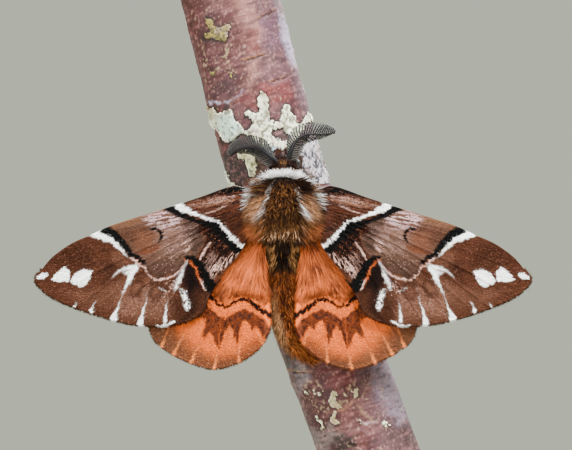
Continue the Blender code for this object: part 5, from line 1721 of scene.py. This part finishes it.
# The bark's patches: a colour, an outline in the photograph's pixels, how soft its edge is, and how full it
# is
BARK_PATCHES = (
    (paint(104, 48, 50), ((196, 4), (234, 14), (246, 60), (238, 96), (208, 96)), 10, 0.7),
    (paint(120, 60, 58), ((222, 20), (246, 18), (250, 40), (236, 56), (224, 44)), 8, 0.6),
    (paint(190, 150, 142), ((230, -6), (252, -6), (262, 30), (262, 66), (250, 92), (246, 40)), 7, 0.55),
    (paint(142, 56, 54), ((243, 26), (257, 30), (262, 54), (248, 56)), 4, 0.7),
    (paint(142, 94, 100), ((258, 54), (278, 52), (286, 80), (264, 84)), 7, 0.65),
    (paint(128, 66, 68), ((210, 44), (238, 46), (240, 80), (212, 84)), 8, 0.6),
    (paint(138, 102, 120), ((258, 14), (280, 8), (288, 46), (264, 52)), 6, 0.7),
    (paint(156, 66, 60), ((258, 84), (290, 80), (296, 102), (266, 104)), 5, 0.75),
    (paint(136, 48, 46), ((230, 97), (258, 93), (258, 108), (240, 110)), 4, 0.7),
    (paint(98, 60, 72), ((212, 80), (236, 78), (234, 98), (212, 99)), 5, 0.6),
    (paint(112, 62, 68), ((228, 106), (257, 110), (254, 130), (238, 130)), 3, 0.7),
    (paint(132, 74, 78), ((270, 102), (306, 96), (308, 116), (296, 124), (272, 120)), 4, 0.7),
    (paint(148, 114, 128), ((290, 60), (298, 58), (310, 104), (302, 106)), 4, 0.7),
    (paint(84, 54, 50), ((271, 128), (290, 134), (287, 143), (276, 140)), 2, 0.9),
    # These two are painted shadows on the bark on either side of the head
    (paint(40, 34, 42), ((254, 148), (272, 148), (274, 182), (254, 182)), 3, 0.85),
    (paint(40, 36, 48), ((292, 142), (304, 146), (308, 182), (290, 182)), 3, 0.85),
    (paint(54, 38, 34), ((220, 146), (230, 154), (240, 160), (252, 170), (252, 184), (240, 186), (226, 172)),
     3, 0.9),
    (paint(50, 32, 38), ((284, 352), (314, 350), (322, 370), (300, 378), (286, 372)), 5, 0.85),
    (paint(130, 44, 40), ((312, 358), (356, 362), (352, 390), (314, 394)), 6, 1.0),
    (paint(96, 44, 50), ((302, 376), (326, 374), (334, 400), (330, 430), (312, 440), (304, 404)), 6, 0.7),
    (paint(170, 164, 168), ((292, 362), (302, 358), (308, 374), (302, 396), (296, 384)), 4, 0.6),
    (paint(150, 96, 94), ((344, 398), (362, 398), (362, 420), (342, 424)), 5, 0.6),
    (paint(178, 166, 178), ((374, 358), (392, 362), (414, 424), (396, 424), (374, 392)), 8, 0.85),
    (paint(166, 158, 154), ((312, 432), (332, 424), (342, 438), (326, 452), (314, 448)), 4, 0.6),
    (paint(52, 42, 34), ((334, 438), (352, 436), (358, 452), (334, 452)), 3, 0.85),
    (paint(96, 70, 68), ((384, 424), (420, 416), (424, 454), (388, 454)), 5, 0.6),
)

# Lines on the bark, in the same way, with their widths
BARK_LINES = (
    # The first two lines are painted highlights down the branch's right edge
    (paint(200, 196, 208), ((282, 18), (288, 40), (295, 64)), (5, 11, 6), 4, 0.85),
    (paint(176, 162, 174), ((276, 2), (282, 20), (290, 52)), (5, 6, 4), 4, 0.5),
    (paint(66, 34, 36), ((210, 106), (222, 107), (244, 104)), (1.4, 2, 0.8), 1, 0.8),
    (paint(150, 104, 76), ((228, 99.5), (234, 98.5), (240, 97)), (1.5, 3.4, 1), 1, 0.8),
    (paint(196, 160, 132), ((326, 413), (338, 411), (348, 407), (355, 399)), (1, 2.2, 2.2, 1), 1, 0.8),
    (paint(186, 160, 138), ((356, 402), (362, 412), (372, 419)), (1, 3, 2.4), 1.2, 0.8),
    (paint(210, 196, 196), ((357, 420), (366, 424), (376, 421)), (1, 2.4, 1.4), 1, 0.7),
    (paint(120, 50, 36), ((356, 437), (360, 433), (365, 436), (363, 443), (368, 446)), (2, 2.4, 2.4, 2, 2),
     1, 0.9),
    (paint(26, 16, 14), ((354, 440), (356, 434), (362, 431), (367, 437)), (1, 1.4, 1.4, 1), 0.8, 0.8),
    (paint(40, 28, 30), ((404, 404), (410, 416), (414, 428)), (1, 3, 3), 1, 0.7),
)


def bark_colours(angle, height, marks, pixels, front):
    """The bark's colours: red-brown to mauve and finely streaked, with painted light that makes it paler and
    greyer towards the right, as a sheen.
    """
    _, crack, lip, peel, crumbs, scar, wrinkles, lumps = marks
    flat = bark_flat(angle, height)
    colour = np.tile(paint(132, 80, 80), (len(flat), 1))
    blotch, fine = grain(flat, 4.5, 320), grain(flat, 0.2, 321)
    streak, thread = grain(flat * (0.3, 1.6), 0.5, 322), grain(flat * (0.45, 2.4), 0.42, 325)

    def cover(other, amount):
        lay(colour, other, amount)

    cover(paint(134, 66, 64), ramp(blotch, 0.4, 0.75) * 0.8)
    cover(paint(92, 46, 46), ramp(grain(flat, 3.1, 324), 0.55, 0.85) * 0.5)
    # Painted light: paler and mauve towards the right side, then a patchy grey painted sheen round the right
    # side away from the front
    cover(paint(142, 112, 122), ramp(np.cos(angle + 0.3), 0.1, 0.95) * 0.6)
    cover(paint(190, 190, 202), ramp(np.cos(angle + 0.3) * grain(flat, 2.4, 323), 0.5, 0.8) * (1 - front)
          * 0.8)
    bent = pixels + jitter(flat, 0.8, (326, 327)) * 7
    for other, outline, soft, amount in BARK_PATCHES:
        cover(other, patch(bent, outline, soft) * front * amount * (0.75 + 0.5 * thread))
    bent = pixels + jitter(flat, 0.3, (328, 329)) * 2.4
    for other, line, widths, soft, amount in BARK_LINES:
        cover(other, stroke(bent, line, widths, soft) * front * amount * (0.6 + 0.5 * fine))
    cover(paint(168, 124, 124), ramp(streak, 0.5, 0.95) * 0.34)
    cover(paint(66, 32, 34), ramp(-thread, -0.42, -0.12) * 0.5)
    cover(paint(196, 164, 160), ramp(thread, 0.7, 1.0) * 0.36)
    cover(paint(206, 182, 176), ramp(fine, 0.72, 0.95) * 0.26)
    cover(paint(186, 146, 110), lip * (0.5 + 0.5 * fine))
    cover(paint(38, 22, 20), crack)
    cover(paint(200, 198, 208), peel * (0.6 + 0.4 * fine))
    cover(paint(198, 184, 160), crumbs * 0.6)
    # Painted shadow: the bark is darkened in a ring round each lichen's edge
    for outlines, holes, seed, shade in LICHENS:
        near = lichen_cover(flat, pixels, outlines, holes, seed, 5.0)
        cover(paint(40, 24, 26), ramp(near, 0.16, 0.42) * front * shade)
    return colour * (0.46 + 0.26 * fine + 0.16 * streak + 0.12 * lumps)[:, None]


def build_bark():
    """The cut length of branch: bark with its cracks and scars, and clean cut ends."""
    around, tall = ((280, 350))
    bm = bmesh.new()
    tone = bm.verts.layers.float_color.new("coat")
    bmesh.ops.create_grid(bm, x_segments=around, y_segments=tall, size=0.5)
    order = bm.verts[:]
    grid = np.array([v.co[:2] for v in order])
    angle = (grid[:, 0] + 0.25) * 2 * math.pi
    height = BRANCH_FOOT + (grid[:, 1] + 0.5) * (BRANCH_TOP - BRANCH_FOOT)
    angle = np.where(grid[:, 0] > 0.4999, -math.pi / 2, angle)
    plain = branch_surface(angle, height)
    front = ramp(-np.sin(angle), 0.0, 0.12)
    marks = bark_relief(angle, height, photographed(plain), front)
    rim = ramp(np.minimum(height - BRANCH_FOOT, BRANCH_TOP - height), 0.0, 0.5)
    points = branch_surface(angle, height, marks[0] * rim - (1 - rim) * 0.25)
    for vert, place in zip(order, points):
        vert.co = place
    for vert, colour in zip(order, bark_colours(angle, height, marks, photographed(plain), front)):
        vert[tone] = (*colour, 1.0)
    bmesh.ops.remove_doubles(bm, verts=bm.verts, dist=1e-4)
    caps = bmesh.ops.holes_fill(bm, edges=[e for e in bm.edges if e.is_boundary])["faces"]
    for cap in caps:
        cap.material_index = 1
        for edge in cap.edges:
            edge.smooth = False
    mesh = bmesh_to_mesh("bark", bm)
    place_corners(mesh, corners(mesh) * MM)
    bark = finish("bark", 0.6, 5500, 0.9, 0.6, attribute="coat", stretch=(1, 1, 2), Specular_IOR_Level=0.2)
    piece = add_piece("bark", mesh, bark, ("perch_branch",))
    mesh.materials.append(cut_wood())
    return piece


def cut_wood():
    """Pale end grain with yearly rings round the branch's middle."""
    made = finish("end_grain", 0.7, 1200, 0.25, 0.3, colour=paint(196, 164, 124))
    tree = made.node_tree
    rings = add_node(tree, "ShaderNodeTexWave", wave_type="RINGS", rings_direction="Z", Scale=330.0,
                     Distortion=3.4, Detail=3.0)
    tones = band_tones(tree, rings, paint(198, 168, 128), paint(168, 132, 94))
    tones.color_ramp.elements[0].position = 0.4
    place = find_node(tree, "ShaderNodeMapping")
    top, foot = (branch_middle(height - THORAX_PLACE[2]) for height in (BRANCH_TOP, BRANCH_FOOT))
    slope = (foot - top) / (BRANCH_TOP - BRANCH_FOOT)
    lean = math.atan(slope)
    place.inputs["Rotation"].default_value = 0.0, lean, 0.0
    place.inputs["Location"].default_value = -math.cos(lean) * (top + slope * BRANCH_TOP) * MM, 0.0, 0.0
    return made


# Lichens on the branch's front, as outlines in the photograph's pixels, and their colours
GREY_LICHEN = (
    (
        (205, 108), (213, 108), (222, 114), (225, 109), (231, 109), (233, 117), (238, 124), (243, 129),
        (250, 129),
        (253, 124), (252, 120), (246, 117), (245, 112), (249, 110), (256, 115), (261, 112), (258, 104),
        (257, 97),
        (260, 92), (266, 92), (269, 97), (269, 108), (271, 119), (275, 122), (280, 117), (280, 108),
        (284, 106),
        (287, 104), (291, 107), (291, 114), (295, 122), (301, 124), (305, 118), (308, 110), (313, 118),
        (308, 124),
        (300, 133), (295, 141), (291, 150), (285, 150), (276, 150), (271, 153), (266, 150), (258, 142),
        (250, 136),
        (240, 135), (236, 141), (230, 144), (224, 141), (220, 136), (219, 131), (213, 127), (209, 122),
        (204, 116),
    ),
    ((237, 152), (248, 149), (254, 154), (259, 165), (257, 174), (251, 178), (248, 170), (247, 163),
     (240, 158)),
    ((212, 161), (220, 163), (226, 172), (231, 181), (241, 187), (246, 193), (234, 190), (222, 183),
     (213, 176)),
)
GREY_HOLE = ((271, 130), (281, 130), (289, 136), (285, 141), (277, 138))
YELLOW_LICHEN = (
    ((206, 18), (213, 19), (216, 28), (222, 26), (230, 23), (232, 29), (225, 33), (229, 37), (226, 41),
     (216, 40),
     (208, 41), (203, 37), (205, 32), (211, 32), (208, 25)),
    ((211, 70), (215, 70), (215, 75), (211, 75)), ((232, 72), (235, 74), (235, 80), (232, 78)),
)
FOOT_LICHEN = (
    ((330, 391), (333, 390), (336, 397), (340, 402), (343, 408), (338, 409), (332, 406), (330, 398)),
    ((330, 413), (337, 410), (338, 417), (341, 426), (336, 427), (331, 421)),
    ((353, 389), (356, 387), (360, 392), (357, 398), (352, 397)),
    ((344, 391), (348, 391), (347, 396), (343, 395)),
    ((305, 391), (308, 391), (308, 395), (305, 395)), ((313, 391), (316, 391), (316, 395), (313, 395)),
    ((320, 391), (323, 391), (323, 395), (320, 395)), ((315, 415), (318, 415), (325, 427), (322, 428)),
    ((378, 422), (385, 420), (391, 424), (386, 428)), ((357, 418), (362, 419), (361, 422), (357, 421)),
)
CRUST = ((302, 140), (314, 134), (319, 146), (323, 162), (329, 184), (318, 186), (308, 179), (301, 167),
         (299, 152))
GREY_LICHEN_LOW, GREY_LICHEN_HIGH = paint(146, 144, 118), paint(210, 211, 200)
YELLOW_LOW, YELLOW_HIGH = paint(98, 86, 36), paint(164, 150, 78)
# Each lichen: its outlines, its holes, a seed, and how dark the painted shadow round it is on the bark
LICHENS = ((GREY_LICHEN, (GREY_HOLE,), 330, 0.85), (YELLOW_LICHEN, (), 340, 0.6),
           (FOOT_LICHEN, (), 350, 0.3))

# Tones within the lichens: smooth grey-blue lobes, yellow-green ones and brown tips
LICHEN_PATCHES = (
    (paint(188, 204, 198), ((216, 116), (232, 112), (242, 130), (228, 143), (218, 130)), 4, 0.7),
    (paint(170, 190, 202), ((270, 146), (282, 148), (280, 154), (272, 153)), 1.5, 0.8),
    (paint(164, 158, 104), ((204, 104), (216, 106), (220, 118), (208, 122)), 4, 0.5),
    (paint(170, 168, 112), ((236, 148), (256, 148), (262, 180), (246, 182)), 3, 0.7),
    (paint(156, 142, 104), ((261, 94), (269, 94), (270, 112), (262, 112)), 2, 0.4),
    (paint(176, 132, 78), ((203, 105), (214, 106), (212, 110), (204, 111)), 1.2, 0.7),
    (paint(176, 132, 78), ((258, 90), (268, 91), (268, 95), (258, 96)), 1.2, 0.7),
    (paint(176, 132, 78), ((224, 107), (232, 108), (231, 112), (225, 112)), 1.2, 0.6),
    (paint(176, 158, 104), ((320, 380), (366, 380), (366, 434), (320, 434)), 4, 0.75),
)


def lichen_cover(flat, pixels, outlines, holes, seed, soft):
    """Above a half on the bark within lichens' ragged outlines, and below it around them."""
    bent = pixels + jitter(flat, 0.7, (seed, seed + 1)) * 4.4
    bent += jitter(flat, 0.28, (seed + 8, seed + 9)) * 2.6
    inside = np.zeros(len(flat))
    for outline in outlines:
        inside = np.maximum(inside, patch(bent, outline, soft))
    for outline in holes:
        inside *= 1 - patch(bent, outline, soft)
    return inside


def build_lichen(name, outlines, holes, tones, thick, surface, seed, box):
    """A leafy lichen: a thin sheet that lies on the bark within its outlines, lumpy and with raised lobes."""
    step = 0.1
    low, high = box
    angle, height = np.meshgrid(np.arange(low[0], high[0], step / BARK_FLAT_RADIUS),
                                np.arange(low[1], high[1], step),
                                indexing="ij")
    shape = angle.shape
    angle, height = angle.ravel(), height.ravel()
    pixels = photographed(branch_surface(angle, height))
    front = ramp(-np.sin(angle), 0.0, 0.12)
    marks = bark_relief(angle, height, pixels, front)
    flat = bark_flat(angle, height)
    inside = lichen_cover(flat, pixels, outlines, holes, seed, 2.2)
    lumps = grain(flat, 0.5, seed + 2) * 0.5 + grain(flat, 0.25, seed + 3) * 0.5
    top = marks[0] + thick * (0.35 + 0.65 * ramp(inside, 0.45, 0.9)) * (0.6 + 0.8 * lumps)
    keep = (inside > 0.5).reshape(shape)
    front_face = branch_surface(angle, height, top).reshape(*shape, 3)
    back_face = branch_surface(angle, height, marks[0] - 0.1).reshape(*shape, 3)
    mesh = double_sheet(name, front_face, back_face, keep)
    points = corners(mesh)
    across = points[:, 0] - branch_middle(points[:, 2] - THORAX_PLACE[2])
    spots = bark_flat(np.arctan2(points[:, 1], across), points[:, 2])
    mix = 0.3 * grain(spots, 0.9, seed + 4) + 0.7 * grain(spots, 0.24, seed + 5)
    colours = tones[0] + (tones[1] - tones[0]) * ramp(mix, 0.25, 0.6)[:, None]
    places = photographed(points)
    lay(colours, paint(184, 166, 160), ramp(grain(spots, 0.7, seed + 7), 0.55, 0.8) * 0.5)
    for other, outline, soft, amount in LICHEN_PATCHES:
        lay(colours, other, patch(places, outline, soft) * amount * (0.6 + 0.6 * mix))
    rim = lichen_cover(spots, places, outlines, holes, seed, 2.2)
    lay(colours, paint(226, 226, 216), ramp(-rim, -0.72, -0.6) * (tones[0] is GREY_LICHEN_LOW) * 0.7)
    lay(colours, tones[0] * 0.35, ramp(-grain(spots, 0.34, seed + 6), -0.3, -0.14) * 0.8)
    colour_corners(mesh, colours)
    place_corners(mesh, points * MM)
    return add_piece(name, mesh, surface)


class MOTH_OT_branch(bpy.types.Operator):
    """Builds the branch with its bark, cut ends and lichens"""

    bl_idname = "moth.branch"
    bl_label = "Branch and lichens"

    def execute(self, context):
        build_bark()
        leaf = finish("lichen", 0.85, 2500, 0.35, 0.6, attribute="coat")
        grey, yellow = (GREY_LICHEN_LOW, GREY_LICHEN_HIGH), (YELLOW_LOW, YELLOW_HIGH)
        crust = paint(52, 50, 62), paint(190, 187, 190)
        for name, outlines, holes, tones, thick, seed, low, high in (
            ("grey_lichen", GREY_LICHEN, (GREY_HOLE,), grey, 0.22, 330, 46.0, 62.0),
            ("yellow_lichen", YELLOW_LICHEN, (), yellow, 0.16, 340, 61.0, 71.0),
            ("foot_lichen", FOOT_LICHEN, (), grey, 0.16, 350, 15.0, 25.0),
            ("crust_lichen", (CRUST,), (), crust, 0.12, 360, 46.0, 57.0),
        ):
            build_lichen(name, outlines, holes, tones, thick, leaf, seed, ((-math.pi, low), (0.0, high)))
        return {"FINISHED"}


# Legs

def bark_point(height, angle, off):
    """A point beside the bark in the moth's own frame: the angle from its front, and the clearance off it."""
    share = (height + THORAX_PLACE[2] - BRANCH_FOOT) / (BRANCH_TOP - BRANCH_FOOT)
    radius = branch_radius(share) * BARK_SWELL + off
    x = branch_middle(height) + radius * math.hypot(1.0, BRANCH_LEAN) * math.sin(angle)
    return np.array((x, -radius * math.cos(angle) - THORAX_PLACE[1], height))


def bark_angle(height, x):
    """The angle round the branch at which a point of its front has the given place across."""
    share = (x - branch_middle(height)) / (BRANCH_RADIUS_FOOT * math.hypot(1.0, BRANCH_LEAN))
    return math.asin(max(-1.0, min(1.0, share)))


def leg_line(side, sizes):
    """A leg's middle line: thigh out from the hip, shin down to the bark, and the foot laid round it."""
    hip, knee, heights, angles = (np.array(v) for v in sizes)
    hip, knee = hip * (side, 1, 1), knee * (side, 1, 1)
    knee[1] = min(knee[1], bark_point(knee[2], bark_angle(knee[2], knee[0]), KNEE_CLEARANCE)[1])
    near, far = np.radians(angles) * side
    points = [hip, (hip + knee) / 2, knee]
    for t in (0.0, 0.33, 0.67, 1.0):
        height = heights[0] + (heights[1] - heights[0]) * t
        angle = BODY_SHARE * bark_angle(height, 0.0) + near + (far - near) * t
        points.append(bark_point(height, angle, 0.18))
    return np.array(points)


class MOTH_OT_legs(bpy.types.Operator):
    """Builds the six legs: furry thighs and shins, ringed feet with claws"""

    bl_idname = "moth.legs"
    bl_label = "Legs"

    def execute(self, context):
        fur = finish("leg_fur", 0.6, 3000, 0.3, 0.1, attribute="coat", Specular_IOR_Level=0.2)
        tones = paint(52, 36, 28), paint(132, 100, 76)
        for place, sizes in LEGS.items():
            for word, side in SIDES:
                name = f"leg_{place}_{word}"
                tube = Tube(leg_line(side, sizes), LEG_RADII, 6)
                seed = 400 + sum(map(ord, name))
                mesh = tube.mesh(f"{name}_skin", 14, 60)
                points = corners(mesh)
                colour_corners(mesh, speckled(paint(70, 42, 28), points[:, 1:], 0.3, 7))
                place_corners(mesh, in_world(points))
                add_piece(mesh.name, mesh, fur, (name,))
                tube.coat(f"{name}_fur", fur, "leg_fur", 900, seed, 1.1, 0.3, 0.085, tones, (0.0, 0.55))
                tube.coat(f"{name}_scales", fur, "leg_fur", 500, seed + 1, 0.4, 0.04, 0.08, tones,
                          (0.5, 0.97))
                claws = np.array([tube.line[-1]] * 2)
                ahead = np.array([tube.tangent[-1]] * 2)
                apart = np.array((tube.right[-1], -tube.right[-1]))
                middle = claws + ahead * 0.18 + apart * 0.12
                path = claws - ahead * 0.1, middle, claws + ahead * 0.24 + apart * 0.22
                dark = np.tile(paint(30, 18, 12), (2, 1))
                grow_hair(f"{name}_claws", path, np.cross(ahead, apart), 0.1, 0.1, (dark, dark),
                          np.array(((0.2, 0.2), (0.7, 0.7))), fur)
        return {"FINISHED"}


# Stand

def turned(name, profile, steps, middle, surface, replaced):
    """A turned piece: a profile of radius and height spun round an upright line."""
    bm = bmesh.new()
    verts = [bm.verts.new((radius, 0, height)) for radius, height in profile]
    edges = [bm.edges.new(pair) for pair in zip(verts, verts[1:])]
    bmesh.ops.spin(bm, geom=[*verts, *edges], cent=(0, 0, 0), axis=(0, 0, 1), angle=2 * math.pi, steps=steps,
                   use_merge=True)
    bmesh.ops.remove_doubles(bm, verts=bm.verts, dist=1e-4)
    bmesh.ops.translate(bm, vec=(middle, 0, 0), verts=bm.verts)
    bmesh.ops.scale(bm, vec=(MM, MM, MM), verts=bm.verts)
    mesh = bmesh_to_mesh(name, bm)
    piece = add_piece(name, mesh, surface, replaced)
    mesh.set_sharp_from_angle(angle=math.radians(40))
    return piece


def rounded(points, radius, steps=4):
    """The profile with each of its inner corners rounded."""
    line = [np.array(p, float) for p in points]
    made = [line[0]]
    for before, here, after in zip(line, line[1:], line[2:]):
        back, ahead = unit(before - here), unit(after - here)
        size = min(radius, np.linalg.norm(before - here) * 0.45, np.linalg.norm(after - here) * 0.45)
        start, end = here + back * size, here + ahead * size
        for t in np.linspace(0, 1, steps + 1):
            made.append(bend(start, here, end, t))
    return [*made, line[-1]]


def walnut():
    """Dark oiled walnut with its grain running across the base."""
    made = finish("walnut", 0.34, 900, 0.35, 0.12, colour=paint(84, 54, 36), stretch=(1, 8, 8),
                  Coat_Weight=0.3,
                  Coat_Roughness=0.2)
    tree = made.node_tree
    wave = add_node(tree, "ShaderNodeTexWave", bands_direction="Y", Scale=30.0, Distortion=13.0, Detail=4.0)
    wave.inputs["Detail Scale"].default_value = 1.6
    band_tones(tree, wave, paint(70, 44, 30), paint(104, 69, 45))
    return made


class MOTH_OT_stand(bpy.types.Operator):
    """Builds the turned base and the brass rod that holds the branch"""

    bl_idname = "moth.stand"
    bl_label = "Stand"

    def execute(self, context):
        rim = BASE_RADIUS
        profile = ((0, 0), (rim - 0.4, 0), (rim, 0.4), (rim, 1.9), (rim - 0.3, 2.1), (rim - 0.3, 2.4),
                   (rim, 2.6),
                   (rim, 3.3), (rim - 0.7, BASE_HEIGHT), (0, BASE_HEIGHT))
        turned("stand_foot", rounded(profile, 0.3), 128, 0.0, walnut(), ("stand_base",))
        brass = finish("brass", 0.28, 1500, 0.12, 0.05, colour=paint(214, 176, 104), stretch=(1, 1, 12),
                       Metallic=1.0)
        low, high = BASE_HEIGHT - 0.5, BRANCH_FOOT + 0.4
        profile = ((0, low), (2.9, low), (2.9, BASE_HEIGHT + 0.35), (2.2, BASE_HEIGHT + 0.8),
                   (ROD_RADIUS, BASE_HEIGHT + 1),
                   (ROD_RADIUS, high - 1.4), (2.2, high - 1.2), (2.2, high - 0.6), (ROD_RADIUS, high - 0.4),
                   (ROD_RADIUS, high), (0, high))
        middle = branch_middle(BRANCH_FOOT - THORAX_PLACE[2])
        turned("stand_stem", rounded(profile, 0.2), 48, middle, brass, ("stand_rod",))
        return {"FINISHED"}


class MOTH_PT_panel(bpy.types.Panel):
    """Lists the moth's settings and the steps that build it"""

    bl_idname = "MOTH_PT_panel"
    bl_label = "Kentish glory moth"
    bl_space_type = "VIEW_3D"
    bl_region_type = "UI"
    bl_category = "Moth"

    def draw(self, context):
        for name in SETTINGS:
            box = self.layout.box()
            group = getattr(context.scene, name)
            for label in group.__annotations__:
                box.prop(group, label)
        for step in STEPS:
            self.layout.operator(f"moth.{step}")


SETTINGS = {"moth_wings": MothWingSettings, "moth_stage": MothStageSettings}
STEPS = ("stage", "wings", "body", "head", "legs", "branch", "stand")
CLASSES = (
    *SETTINGS.values(), MOTH_OT_stage, MOTH_OT_wings, MOTH_OT_body, MOTH_OT_head, MOTH_OT_legs,
    MOTH_OT_branch,
    MOTH_OT_stand, MOTH_PT_panel,
)


def register():
    """Registers the classes and gives the scene its settings."""
    for made in CLASSES:
        bpy.utils.register_class(made)
    for name, kind in SETTINGS.items():
        setattr(bpy.types.Scene, name, PointerProperty(type=kind))


def unregister():
    """Takes the settings and the classes away again."""
    for name in SETTINGS:
        delattr(bpy.types.Scene, name)
    for made in reversed(CLASSES):
        bpy.utils.unregister_class(made)


def main():
    """Builds every piece in order."""
    register()
    for step in STEPS:
        getattr(bpy.ops.moth, step)()


if __name__ == "__main__":
    main()
